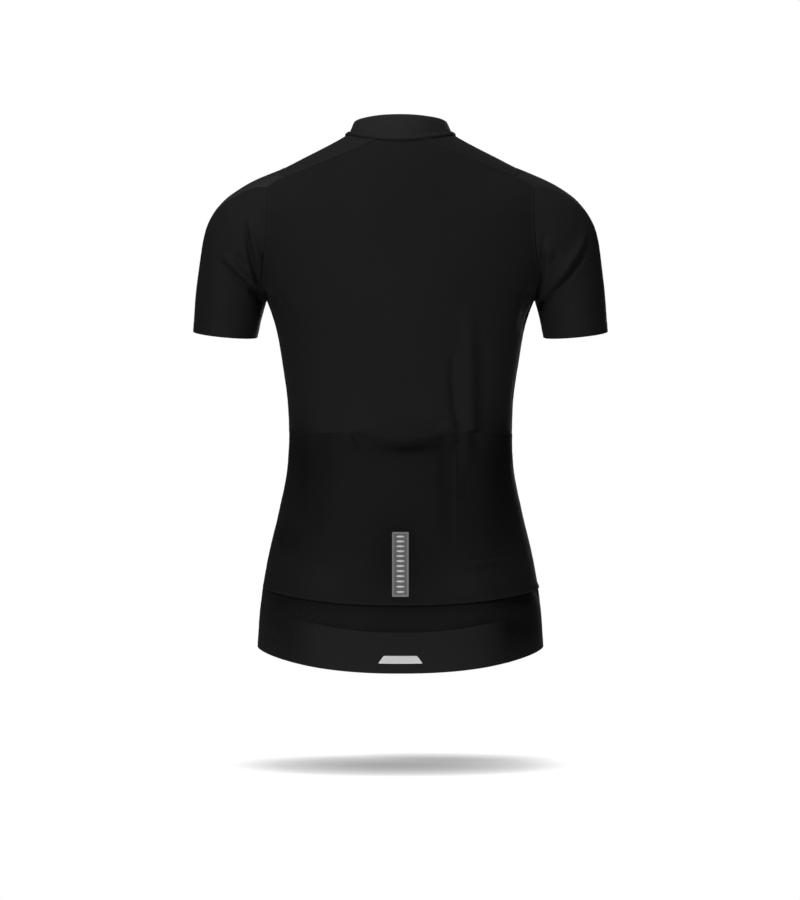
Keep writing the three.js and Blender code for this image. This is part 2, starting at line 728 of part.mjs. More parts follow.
function makeGripper() {
  const xs = steps(-gripperHalfWidth, gripperHalfWidth, 18);
  const shares = steps(0, 1, 3);
  const skin = shares.map((share) => xs.map((x) => {
    const outward = Math.abs(x) / gripperHalfWidth;
    const rise = gripperRise.middle + (gripperRise.end - gripperRise.middle) * outward ** 2;
    const climb = hemClimb + share * rise * (pocketFootClimb / 73);
    const angle = angleSeenAt(climb, x);
    return { point: torsoPoint(climb, angle), normal: torsoNormal(climb, angle) };
  }));
  addPiece('hem_gripper', wallGeometry(skin, gripperLift, overlayThickness), 'gripper');
}

const reflectiveTab = { topHalfWidth: 18.5, footHalfWidth: 24.5, foot: 9.5, top: 16.5 };

function makeReflectiveTab() {
  const lift = gripperLift + overlayGap + overlayThickness;
  const skin = [reflectiveTab.foot, reflectiveTab.top].map((rise, r) => {
    const halfWidth = r === 0 ? reflectiveTab.footHalfWidth : reflectiveTab.topHalfWidth;
    return steps(-halfWidth, halfWidth, 4).map((x) => {
      const climb = hemClimb + rise;
      const angle = angleSeenAt(climb, x);
      return { point: torsoPoint(climb, angle), normal: torsoNormal(climb, angle) };
    });
  });
  addPiece('reflective_tab', wallGeometry(skin, lift, overlayThickness), 'reflective');
}

const labelPatch = { centreX: 0, width: 18, footClimb: pocketFootClimb + 8.5, height: 61.3 };

function makeLabelPatch() {
  const climbs = steps(labelPatch.footClimb, labelPatch.footClimb + labelPatch.height, 4);
  const xs = steps(labelPatch.centreX - labelPatch.width / 2, labelPatch.centreX + labelPatch.width / 2, 2);
  const skin = climbs.map((climb) => xs.map((x) => {
    const angle = angleSeenAt(climb, x);
    const normal = torsoNormal(climb, angle);
    return { point: torsoPoint(climb, angle).addScaledVector(normal, pocketLift(climb, angle)), normal };
  }));
  addPiece('label_patch', wallGeometry(skin, 0.6 + overlayThickness, overlayThickness), 'label');
}

// The zip runs up the middle of the front from the hem to the top of the collar.

const chainHalfWidth = 2.6;
const tapeInnerX = 3;
const tapeOuterX = 14;
const chainThickness = 2.4;
const chainTop = -0.9;          // the chain's face, against the skin of the front
const tapeTop = -collarThickness - 0.7;

function zipSkin(xs) {
  const onBody = torsoSkin(bodyClimbs, (climb) => xs.map((x) => frontAngleAt(climb, Math.abs(x)) * Math.sign(x || 1)));
  const ups = steps(0, collarHeight, 3).slice(1);
  const onCollar = collarSkin(ups, xs.map((x) => (Math.PI - Math.asin(Math.abs(x) / 56)) * Math.sign(x || 1)));
  return [...onBody, ...onCollar];
}

function makeZip() {
  for (const [side, sign] of [['left', 1], ['right', -1]]) {
    const skin = zipSkin([tapeInnerX * sign, tapeOuterX * sign]);
    addPiece(`zip_tape_${side}`, wallGeometry(skin, tapeTop, overlayThickness), 'tape');
  }
  const chain = drawBack(zipSkin([-chainHalfWidth, chainHalfWidth]), { firstRow: 10, lastRow: 1 });
  addPiece('zip_chain', wallGeometry(chain, chainTop, chainThickness), 'zip');
}

// The slider stands at the top of the closed zip, and its pull tab hangs from a pin between two lugs.
// Both are drawn flat, x across, y up the zip and z out of the cloth, and then stood on the collar's front.

const slider = { fromTop: 8, length: 11, topHalfWidth: 4.7, footHalfWidth: 3.8, underside: -0.6, face: 2 };
const hinge = { up: 2, out: 3.9, lugRadius: 1.6, lugInner: 2.15, lugOuter: 3.3, pinRadius: 0.95 };
const pull = { neckHalfWidth: 1.3, halfWidth: 3.5, neckEnd: -1.2, shoulderEnd: -3.6, end: -20, thickness: 1.4 };

function outline(points) {
  return new THREE.Shape(points.map(([x, y]) => new THREE.Vector2(x, y)));
}

function slab(shape, low, high) {
  const geometry = new THREE.ExtrudeGeometry(shape, { depth: high - low, bevelEnabled: false });
  return geometry.translate(0, 0, low);
}

function toSolid(geometry) {
  const bare = geometry.clone();
  bare.deleteAttribute('normal');
  bare.deleteAttribute('uv');
  const merged = mergeVertices(bare, 1e-4);
  return new wasm.Manifold(new wasm.Mesh({
    numProp: 3,
    vertProperties: Float32Array.from(merged.attributes.position.array),
    triVerts: Uint32Array.from(merged.index.array),
  }));
}

function fromSolid(solid) {
  const { vertProperties, triVerts } = solid.getMesh();
  const geometry = new THREE.BufferGeometry();
  geometry.setAttribute('position', new THREE.Float32BufferAttribute(vertProperties, 3));
  geometry.setIndex(Array.from(triVerts));
  geometry.computeVertexNormals();
  return geometry;
}

function union(geometries) {
  return fromSolid(geometries.map(toSolid).reduce((whole, part) => whole.add(part)));
}

function standOn({ point, normal }, up, geometry) {
  const across = new THREE.Vector3(1, 0, 0);
  const basis = new THREE.Matrix4().makeBasis(across, up, normal).setPosition(point);
  return geometry.applyMatrix4(basis);
}

const sliderUp = collarHeight - slider.fromTop;
const sliderSeat = { point: collarPoint(sliderUp, Math.PI), normal: collarNormal(sliderUp, Math.PI) };
const sliderRise = sliderSeat.normal.clone().cross(new THREE.Vector3(1, 0, 0)).normalize();

function makeSlider() {
  const { topHalfWidth, footHalfWidth, length, underside, face } = slider;
  const corner = 1.2;
  const plate = slab(outline([
    [-footHalfWidth + corner, -length / 2], [footHalfWidth - corner, -length / 2],
    [footHalfWidth, -length / 2 + corner], [topHalfWidth, length / 2 - corner],
    [topHalfWidth - corner, length / 2], [-topHalfWidth + corner, length / 2],
    [-topHalfWidth, length / 2 - corner], [-footHalfWidth, -length / 2 + corner],
  ]), underside, face);
  const lugs = [-1, 1].flatMap((side) => {
    const middle = (side * (hinge.lugInner + hinge.lugOuter)) / 2;
    const width = hinge.lugOuter - hinge.lugInner;
    const rootDepth = hinge.out - face + 0.4;
    const eye = new THREE.CylinderGeometry(hinge.lugRadius, hinge.lugRadius, width, 16);
    const root = new THREE.BoxGeometry(width, 2 * hinge.lugRadius, rootDepth);
    return [
      eye.rotateZ(90 * degree).translate(middle, hinge.up, hinge.out),
      root.translate(middle, hinge.up, hinge.out - rootDepth / 2),
    ];
  });
  addPiece('zip_slider', standOn(sliderSeat, sliderRise, union([plate, ...lugs])), 'metal');
}

function makePull() {
  const { neckHalfWidth, halfWidth, neckEnd, shoulderEnd, end, thickness } = pull;
  const endCorner = 1.6;
  const tab = slab(outline([
    [-neckHalfWidth, hinge.up], [-neckHalfWidth, neckEnd], [-halfWidth, shoulderEnd],
    [-halfWidth, end + endCorner], [-halfWidth + endCorner, end], [halfWidth - endCorner, end],
    [halfWidth, end + endCorner], [halfWidth, shoulderEnd], [neckHalfWidth, neckEnd], [neckHalfWidth, hinge.up],
  ]), hinge.out - thickness / 2, hinge.out + thickness / 2);
  const pin = new THREE.CylinderGeometry(hinge.pinRadius, hinge.pinRadius, 2 * (hinge.lugInner - 0.3), 16);
  pin.rotateZ(90 * degree).translate(0, hinge.up, hinge.out);
  addPiece('zip_pull', standOn(sliderSeat, sliderRise, union([tab, pin])), 'metal');
}

// The box at the foot of the zip, on the chain's own line.
function makeZipBox() {
  const halfLength = 4.2;
  const middle = hemClimb + 5.2;
  const seat = { point: torsoPoint(middle, Math.PI), normal: torsoNormal(middle, Math.PI) };
  const rise = seat.normal.clone().cross(new THREE.Vector3(1, 0, 0)).normalize();
  const box = new THREE.BoxGeometry(2 * chainHalfWidth, 2 * halfLength, chainThickness + 0.4);
  box.translate(0, 0, chainTop - chainThickness / 2);
  addPiece('zip_box', standOn(seat, rise, box), 'metal');
}

makeBackUpper();
makeBackLower();
makePocketPanel();
makeFronts();
makeSleeve('left', leftSleeveFolds);
makeSleeve('right', rightSleeveFolds);
makeCollar();
makeNeckBand();
makeGripper();
makeReflectiveTab();
makeLabelPatch();
makeZip();
makeSlider();
makePull();
makeZipBox();

export default jersey;
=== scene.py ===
# %% [markdown]
# A short-sleeved cycling jersey in black knit, filled out as it is when worn and seen from behind.
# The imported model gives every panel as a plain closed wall. Here each panel is made again as fine
# cloth on the same surface, with its seams, folds, hems, stitches and knit, and then it takes the
# place of the plain wall. Sizes in the tables are millimetres; the meshes are in metres.
# +X is the wearer's left, -Y the front and +Z up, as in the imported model.

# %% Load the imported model
import math

import bmesh
import bpy
import numpy as np
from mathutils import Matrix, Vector


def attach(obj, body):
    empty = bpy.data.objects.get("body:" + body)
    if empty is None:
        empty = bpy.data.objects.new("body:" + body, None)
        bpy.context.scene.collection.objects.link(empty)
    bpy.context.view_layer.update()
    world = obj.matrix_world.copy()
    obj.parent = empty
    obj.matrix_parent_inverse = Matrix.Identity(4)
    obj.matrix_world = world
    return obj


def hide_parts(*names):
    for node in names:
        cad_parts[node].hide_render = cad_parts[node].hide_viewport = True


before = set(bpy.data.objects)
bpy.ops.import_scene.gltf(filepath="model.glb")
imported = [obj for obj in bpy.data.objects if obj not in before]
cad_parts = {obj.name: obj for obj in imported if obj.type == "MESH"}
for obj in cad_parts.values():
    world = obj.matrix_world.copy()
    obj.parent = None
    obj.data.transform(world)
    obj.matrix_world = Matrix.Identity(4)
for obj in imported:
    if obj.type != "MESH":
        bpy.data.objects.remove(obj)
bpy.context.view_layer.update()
MM = 0.001
DEGREE = math.pi / 180

# %% [markdown]
# The photograph is taken square on from behind, from far enough away that the shoulders and the hem
# hardly differ in scale. A level camera with a long lens does the same. It looks along -Y, and the
# jersey's widest part is set in the frame by the lens alone, so no shift is needed.

# %% Camera
VIEW_DISTANCE = 3200
VIEW_HEIGHT = -350
CAMERA_SIDE = 0.5
SENSOR = 36
FRAME_HEIGHT = 1008

camera_data = bpy.data.cameras.new("camera")
camera_data.sensor_width = SENSOR
camera_data.lens = SENSOR * VIEW_DISTANCE / FRAME_HEIGHT
camera = bpy.data.objects.new("camera", camera_data)
camera.location = (CAMERA_SIDE * MM, VIEW_DISTANCE * MM, VIEW_HEIGHT * MM)
camera.rotation_euler = (90 * DEGREE, 0, 180 * DEGREE)
bpy.context.scene.collection.objects.link(camera)
bpy.context.scene.camera = camera
print("camera lens", round(camera_data.lens, 1), "mm")

# %% [markdown]
# The background is pure white, and a thin soft shadow lies on the floor a hand's width under the
# hem. Black cloth in an all-white room would turn grey, so the room lights the cloth far less than
# it shows itself to the camera. A small strong light at the upper left models the folds, and three
# broad weaker ones keep the other sides from going black.

# %% Studio: room, floor and lights
scene = bpy.context.scene
scene.view_settings.view_transform = "Standard"

ROOM_LIGHT = 0.08
FLOOR_HEIGHT = -0.703
FLOOR_RADIUS = 0.45
FLOOR_SIDES = 96

room = bpy.data.worlds.new("white room")
room.use_nodes = True
scene.world = room
room_nodes = room.node_tree.nodes
room_nodes.clear()
room_output = room_nodes.new("ShaderNodeOutputWorld")
room_mix = room_nodes.new("ShaderNodeMixShader")
ray_kind = room_nodes.new("ShaderNodeLightPath")
for strength, place in ((ROOM_LIGHT, 1), (1.0, 2)):
    wall = room_nodes.new("ShaderNodeBackground")
    wall.inputs["Color"].default_value = (1, 1, 1, 1)
    wall.inputs["Strength"].default_value = strength
    room.node_tree.links.new(wall.outputs[0], room_mix.inputs[place])
room.node_tree.links.new(ray_kind.outputs["Is Camera Ray"], room_mix.inputs[0])
room.node_tree.links.new(room_mix.outputs[0], room_output.inputs["Surface"])


def soft_box(name, place, aim, size, watts):
    """A square area light at a place, turned towards its aim."""
    data = bpy.data.lights.new(name, "AREA")
    data.size = size
    data.energy = watts
    light = bpy.data.objects.new(name, data)
    light.location = place
    light.rotation_euler = (Vector(aim) - Vector(place)).to_track_quat("-Z", "Y").to_euler()
    scene.collection.objects.link(light)


WAIST, FLOOR_MIDDLE = (0, 0, -0.3), (0, 0, -0.7)
soft_box("key light", place=(1.45, 2.5, 0.95), aim=WAIST, size=0.6, watts=54)
soft_box("fill light", place=(-1.3, 2.8, 0.1), aim=WAIST, size=1.6, watts=23)
soft_box("top light", place=(0.0, 0.1, 1.9), aim=FLOOR_MIDDLE, size=1.2, watts=14)
soft_box("front light", place=(-0.7, -3.2, 0.1), aim=WAIST, size=1.6, watts=22)

floor_mesh = bpy.data.meshes.new("floor")
floor_turns = [i * 2 * math.pi / FLOOR_SIDES for i in range(FLOOR_SIDES)]
floor_rim = [(FLOOR_RADIUS * math.cos(t), FLOOR_RADIUS * math.sin(t), FLOOR_HEIGHT) for t in floor_turns]
floor_mesh.from_pydata(floor_rim, [], [tuple(range(FLOOR_SIDES))])
floor = bpy.data.objects.new("floor", floor_mesh)
scene.collection.objects.link(floor)

# %% [markdown]
# A shape on the body is read from short tables by smooth curves. The curve through the values of a
# column must not overshoot between two rows, or the cloth would ripple, so it is a cubic whose
# slope at each stop is the harmonic mean of the slopes on both sides.

# %% Tables and smooth curves
def table(columns, rows):
    """Rows of numbers with named columns."""
    return [dict(zip(columns, row)) for row in rows]


def smooth_curve(stops, values):
    """A function through the values at the stops that never overshoots between two of them."""
    stops = np.array(stops, float)
    values = np.array(values, float)
    slopes = np.diff(values) / np.diff(stops)
    before, after = slopes[:-1], slopes[1:]
    same_way = before * after > 0
    inner = np.where(same_way, 2 * before * after / np.where(same_way, before + after, 1), 0)
    tangents = np.concatenate([slopes[:1], inner, slopes[-1:]])

    def value_at(at):
        place = np.clip(at, stops[0], stops[-1])
        i = np.clip(np.searchsorted(stops, place, side="right") - 1, 0, len(stops) - 2)
        span = stops[i + 1] - stops[i]
        s = (place - stops[i]) / span
        rise = s * s * (3 - 2 * s)
        leave = s * (1 - s) * (1 - s)
        arrive = s * s * (1 - s)
        ends = values[i] * (1 - rise) + values[i + 1] * rise
        return ends + span * (tangents[i] * leave - tangents[i + 1] * arrive)

    return value_at


def running_length(points):
    """Length along a row of points, starting at 0."""
    points = np.array(points, float)
    return np.concatenate([[0], np.cumsum(np.linalg.norm(np.diff(points, axis=0), axis=1))])


def curve_over(rows, stops, name):
    """A curve of one column over another."""
    return smooth_curve([row[stops] for row in rows], [row[name] for row in rows])


def curves_of(rows, leading):
    """A curve for each column, over the length along the two leading columns."""
    stops = running_length([[row[name] for name in leading] for row in rows])
    return stops, {name: smooth_curve(stops, [row[name] for row in rows]) for name in rows[0]}


def soft_step(low, high, value):
    s = np.clip((value - low) / (high - low), 0, 1)
    return s * s * (3 - 2 * s)


def bump_at(value, middle, width):
    """A smooth hump of height 1."""
    return np.exp(-(((value - middle) / width) ** 2))


# %% [markdown]
# The body is one surface of rings from the hem up to the neck, and every panel is a stretch of it.
# A ring is named by its climb, the length up the side, and a place on it by its angle from the
# middle of the back. The power in each ring makes it a little squarer than an ellipse, as a chest is.

# %% The body's rings
TORSO_ROWS = table(
    ["side_z", "half_width", "back_depth", "back_z", "front_depth", "front_z", "squareness"],
    [
        [-569, 159.6, 116, -591, 104, -552, 2.3],
        [-535, 157.4, 116, -553, 104, -521, 2.3],
        [-502, 153.4, 114, -518, 103, -492, 2.3],
        [-468, 147.3, 110, -478, 102, -462, 2.3],
        [-418, 135.5, 101, -422, 100, -416, 2.3],
        [-367, 126, 93, -368, 98, -370, 2.3],
        [-332, 124.2, 89, -332, 98, -338, 2.3],
        [-300, 125.4, 88, -301, 100, -308, 2.3],
        [-250, 132, 91, -251, 106, -259, 2.35],
        [-212, 139, 95, -212, 110, -218, 2.4],
        [-181, 150, 97, -181, 111, -184, 2.4],
        [-165, 159, 97.5, -163, 111, -169, 2.42],
        [-145, 169, 97, -146, 110, -157, 2.45],
        [-105, 179, 95, -121, 107, -141, 2.5],
        [-75, 176, 93, -104, 104, -130, 2.5],
        [-55, 164, 91, -91, 101, -121, 2.5],
        [-42, 147, 88.5, -79, 98, -114, 2.45],
        [-35, 130.5, 86, -68.5, 94.5, -107.5, 2.4],
        [-23.5, 108, 81, -52, 88, -97, 2.3],
        [-12.3, 86, 74, -34, 78.5, -84, 2.2],
        [-5.4, 73, 68, -22, 69.5, -73.5, 2.1],
        [3, 58.5, 57.5, -6, 53, -57, 2],
    ],
)
torso_stops, torso = curves_of(TORSO_ROWS, ("half_width", "side_z"))


def climb_of_ring(side_z):
    return torso_stops[[row["side_z"] for row in TORSO_ROWS].index(side_z)]


HEM = climb_of_ring(-569)
POCKET_FOOT = climb_of_ring(-502)
POCKET_LINE = climb_of_ring(-332)
ARMPIT = climb_of_ring(-181)
SHOULDER_END = climb_of_ring(-35)
NECK = climb_of_ring(3)


def torso_point(climb, angle):
    """Points in millimetres for arrays of climb and angle."""
    climb, angle = np.broadcast_arrays(np.asarray(climb, float), np.asarray(angle, float))
    power = torso["squareness"](climb)
    sine, cosine = np.sin(angle), np.cos(angle)
    reach = (np.abs(sine) ** power + np.abs(cosine) ** power) ** (1 / power)
    across, deep = sine / reach, cosine / reach
    behind = cosine >= 0
    depth = np.where(behind, torso["back_depth"](climb), torso["front_depth"](climb))
    middle_z = np.where(behind, torso["back_z"](climb), torso["front_z"](climb))
    side_z = torso["side_z"](climb)
    z = side_z + (middle_z - side_z) * deep * deep
    return np.stack([torso["half_width"](climb) * across, depth * deep, z], -1)


def torso_normal(climb, angle):
    """Outward direction of the body's surface."""
    climb, angle = np.broadcast_arrays(np.asarray(climb, float), np.asarray(angle, float))
    low, high = np.maximum(climb - 0.5, HEM), np.minimum(climb + 0.5, NECK)
    up = torso_point(high, angle) - torso_point(low, angle)
    turn = 0.2 * DEGREE
    round_it = torso_point(climb, angle + turn) - torso_point(climb, angle - turn)
    normal = np.cross(up, round_it)
    return normal / np.linalg.norm(normal, axis=-1, keepdims=True)


def seen_from_behind(point):
    """Where a point appears to the camera: millimetres across and up at the middle of the body."""
    spread = VIEW_DISTANCE / (VIEW_DISTANCE - point[..., 1])
    return point[..., 0] * spread, VIEW_HEIGHT + (point[..., 2] - VIEW_HEIGHT) * spread


print("climbs: pocket foot", round(POCKET_FOOT), "pocket line", round(POCKET_LINE),
      "armpit", round(ARMPIT), "shoulder end", round(SHOULDER_END), "neck", round(NECK))

# %% [markdown]
# The back panel ends at the armhole and, over the shoulder, at the yoke seam, where the front panel
# wraps on to the back. Both seams are drawn as they are seen from behind, and their place on a ring
# is found by halving: the angle is narrowed until the point just reaches the seam.

# %% Armhole and yoke seams
BACK_SEAM = table(["z", "x"], [
    [-181, 150], [-171, 152.5], [-156, 155.5], [-145, 155.2], [-126, 152.5], [-105, 150.8],
    [-78, 149.4], [-56, 149], [-52, 145], [-43, 128.5], [-37, 112], [-23, 78], [-15, 59],
    [-11, 49], [-2, 31], [4, 18],
])
FRONT_SEAM = table(["z", "x"], [
    [-184, 150], [-176, 150], [-160, 147.5], [-135, 143], [-105, 139.5], [-70, 135], [-35, 130.5],
])
back_seam_x = curve_over(BACK_SEAM, "z", "x")
front_seam_x = curve_over(FRONT_SEAM, "z", "x")


def seam_angle(climb, inside, outside, is_within):
    """The angle between inside and outside at which a ring crosses a seam, for each climb."""
    climb = np.asarray(climb, float)
    within = np.full(climb.shape, float(inside))
    beyond = np.full(climb.shape, float(outside))
    never_crossed = is_within(torso_point(climb, beyond))
    for _ in range(26):
        middle = (within + beyond) / 2
        ok = is_within(torso_point(climb, middle))
        within, beyond = np.where(ok, middle, within), np.where(ok, beyond, middle)
    return np.where(never_crossed, outside, within)


def behind_back_seam(point):
    x, z = seen_from_behind(point)
    return x < back_seam_x(z)


def back_edge_angle(climb):
    found = seam_angle(climb, 5 * DEGREE, 90 * DEGREE, behind_back_seam)
    return np.where(np.asarray(climb) <= ARMPIT, 90 * DEGREE, found)


def front_edge_angle(climb):
    found = seam_angle(climb, 175 * DEGREE, 90 * DEGREE, lambda p: p[..., 0] < front_seam_x(p[..., 2]))
    return np.where(np.asarray(climb) <= ARMPIT, 90 * DEGREE, found)


def angle_seen_at(climb, x):
    """The angle at which the back is seen this far across."""
    climb, x = np.broadcast_arrays(np.asarray(climb, float), np.asarray(x, float))
    found = seam_angle(climb, 0, 90 * DEGREE, lambda p: seen_from_behind(p)[0] < np.abs(x))
    return np.sign(x) * found


def front_angle_at(climb, x):
    return math.pi - np.arcsin(x / torso["half_width"](climb))


def climb_where_seam_is_seen(low, high, seen_z):
    for _ in range(30):
        middle = (low + high) / 2
        seam = torso_point(middle, back_edge_angle(middle))
        low, high = (middle, high) if seen_from_behind(seam)[1] < seen_z else (low, middle)
    return float(low)


CORNER = climb_where_seam_is_seen(ARMPIT + 20, NECK, -55.5)
YOKE_END = climb_where_seam_is_seen(ARMPIT + 20, NECK, -43)
CROSS_SEAM_RISE = 2.4
print("armhole corner at", round(CORNER, 1), "yoke end at", round(YOKE_END, 1))

# %% [markdown]
# Folds are soft ridges and troughs along short paths, drawn where the photograph shows them. Each
# has a path, a width, a height and the ends where it dies away. A ridge beside a trough reads as a
# crease: light falls on one side of it and misses the other. Hidden sides get folds of the same kind.

# %% Folds along paths
def path_distance(x, z, path):
    """Distance from each place to a path, and how far along the path its nearest point lies."""
    path = np.array(path, float)
    lengths = running_length(path)
    nearest = np.full(x.shape, np.inf)
    share_there = np.zeros(x.shape)
    for i in range(len(path) - 1):
        step = path[i + 1] - path[i]
        share = ((x - path[i, 0]) * step[0] + (z - path[i, 1]) * step[1]) / (step @ step)
        share = np.clip(share, 0, 1)
        away = np.hypot(x - path[i, 0] - share * step[0], z - path[i, 1] - share * step[1])
        closer = away < nearest
        nearest = np.where(closer, away, nearest)
        along = (lengths[i] + share * (lengths[i + 1] - lengths[i])) / lengths[-1]
        share_there = np.where(closer, along, share_there)
    return nearest, share_there


def fold_height(x, z, folds):
    """The sum of the folds at each place. A fold fades over a third of its path at its soft ends."""
    height = np.zeros(np.shape(x))
    for fold in folds:
        away, share = path_distance(x, z, fold["path"])
        fade = np.ones(np.shape(x))
        if fold["ends"] in ("both", "start"):
            fade = fade * soft_step(-0.04, 0.34, share)
        if fold["ends"] in ("both", "end"):
            fade = fade * soft_step(-0.04, 0.34, 1 - share)
        height = height + fold["height"] * fade * np.exp(-((away / fold["width"]) ** 2))
    return height


FOLD_COLUMNS = ["path", "width", "height", "ends"]
BACK_FOLDS = table(FOLD_COLUMNS, [
    [[(-77, -180), (-77, -250), (-78, -290), (-79, -326)], 7.5, 3.6, "start"],
    [[(-60, -232), (-59, -270), (-61, -300), (-67, -326)], 4.8, -3.4, "start"],
    [[(-93, -215), (-93, -280), (-92, -328)], 9, -1.5, "start"],
    [[(-43, -312), (-42, -328)], 5, -1.2, "both"],
    [[(49, -225), (50, -285), (50, -326)], 12, 1.4, "start"],
    [[(72, -215), (76, -270), (77, -326)], 13, -1.4, "start"],
    [[(146, -176), (137, -186), (126, -200), (112, -222)], 6, -2.2, "end"],
    [[(141, -168), (128, -180), (112, -200)], 8, 1.0, "end"],
    [[(-146, -172), (-143, -186), (-138, -204), (-132, -224)], 5, -3.0, "end"],
    [[(-138, -164), (-128, -184), (-116, -212)], 9, 0.8, "end"],
])
LEFT_SLEEVE_FOLDS = table(FOLD_COLUMNS, [
    [[(200, -128), (190, -141), (178, -152), (163, -166)], 4.8, 4.2, "start"],
    [[(202, -138), (191, -149), (181, -159), (172, -166), (160, -176), (155, -184)], 3.8, -4.4, "start"],
    [[(171, -88), (167, -112), (160, -134), (154, -154)], 4.6, 3.6, "both"],
    [[(176, -88), (171.5, -112), (167, -136), (161, -154), (155, -176)], 3.6, -5.0, "start"],
    [[(187, -129), (172, -148)], 4, -1.8, "both"],
    [[(163, -172), (159, -186), (156, -200)], 6, -2.4, "end"],
    [[(218, -150), (204, -178), (196, -206)], 15, 1.5, "both"],
])
RIGHT_SLEEVE_FOLDS = table(FOLD_COLUMNS, [
    [[(208, -100), (205, -118), (194, -134), (182, -152), (169, -168), (158, -180)], 5, 4.4, "start"],
    [[(211, -104), (208, -121), (199, -141), (188, -157), (176, -169), (165, -180), (156, -186)],
     3.6, -4.2, "start"],
    [[(158.5, -124), (158.5, -150), (156, -168)], 3.0, -4.6, "both"],
    [[(162, -105), (160, -120), (158.5, -140)], 3.4, -2.0, "both"],
    [[(179, -125), (165, -145)], 5, -1.5, "both"],
    [[(168, -118), (164, -146), (159, -166)], 5.5, 2.2, "both"],
    [[(222, -150), (210, -178), (200, -206)], 15, 1.3, "both"],
])
FRONT_SLEEVE_FOLDS = table(FOLD_COLUMNS, [
    [[(198, -118), (186, -136), (170, -154), (158, -168)], 7, 3.6, "start"],
    [[(200, -132), (188, -147), (174, -162), (160, -178)], 6, -3.6, "start"],
    [[(170, -96), (162, -122), (155, -150)], 7, -2.8, "both"],
    [[(215, -150), (206, -180), (200, -208)], 14, 1.3, "both"],
])
FRONT_FOLDS = table(FOLD_COLUMNS, [
    [[(139, -168), (124, -184), (106, -204), (90, -224)], 8, -2.0, "end"],
    [[(134, -154), (116, -172), (96, -194)], 9, 1.8, "end"],
    [[(20, -332), (22, -400), (28, -470)], 13, 1.3, "both"],
    [[(44, -318), (46, -380), (54, -450)], 12, -1.2, "both"],
    [[(72, -310), (78, -370), (90, -440)], 14, 1.2, "both"],
    [[(18, -206), (30, -240), (34, -280)], 14, -1.0, "both"],
])
drawn_folds = BACK_FOLDS + LEFT_SLEEVE_FOLDS + RIGHT_SLEEVE_FOLDS + FRONT_SLEEVE_FOLDS + FRONT_FOLDS
print("folds drawn by hand:", len(drawn_folds))

# %% [markdown]
# Every panel is a grid of points, so one builder can make them all. It takes the outer skin, moves a
# second layer in by the cloth's thickness and closes the rim. A free edge gets a rounded rim, as a
# folded or bonded edge has; a sewn edge ends flat, because the neighbour starts there. The UV map
# holds millimetres on the cloth, so that every knit is drawn at its true size.

# %% Cloth builder
RIM_SWELL = 0.45


def unit(vectors):
    return vectors / np.maximum(np.linalg.norm(vectors, axis=-1, keepdims=True), 1e-9)


def grid_normals(points, closed=False):
    """Outward directions of a grid whose rows rise and whose columns run to the wearer's left."""
    if closed:
        ring = np.concatenate([points[:, -2:-1], points, points[:, 1:2]], axis=1)
        round_it = ring[:, 2:] - ring[:, :-2]
    else:
        round_it = np.gradient(points, axis=1)
    return unit(np.cross(np.gradient(points, axis=0), round_it))


def lengths_across(points):
    """Running length along each row."""
    steps = np.linalg.norm(np.diff(points, axis=1), axis=-1)
    return np.concatenate([np.zeros((len(points), 1)), np.cumsum(steps, axis=1)], axis=1)


def lengths_up(points):
    """Running length up each column."""
    steps = np.linalg.norm(np.diff(points, axis=0), axis=-1)
    return np.concatenate([np.zeros((1, points.shape[1])), np.cumsum(steps, axis=0)], axis=0)


def edge_distances(points):
    across, up = lengths_across(points), lengths_up(points)
    return {
        "first_column": across,
        "last_column": across[:, -1:] - across,
        "first_row": up,
        "last_row": up[-1:] - up,
    }


def perimeter(rows, columns):
    """The grid's outer cells in order, each with the cell next to it inside."""
    last_row, last_column = rows - 1, columns - 1
    foot = [((0, c), (1, c), "first_row") for c in range(columns - 1)]
    left = [((r, last_column), (r, last_column - 1), "last_column") for r in range(rows - 1)]
    top = [((last_row, c), (last_row - 1, c), "last_row") for c in range(last_column, 0, -1)]
    right = [((r, 0), (r, 1), "first_column") for r in range(last_row, 0, -1)]
    return foot + left + top + right


def new_object(name, mesh):
    piece = bpy.data.objects.new(name, mesh)
    scene.collection.objects.link(piece)
    return piece


def signed_volume(points, faces):
    a, b, c, d = (points[faces[:, i]] for i in range(4))
    return float((np.cross(a, b) * c).sum() + (np.cross(a, c) * d).sum())


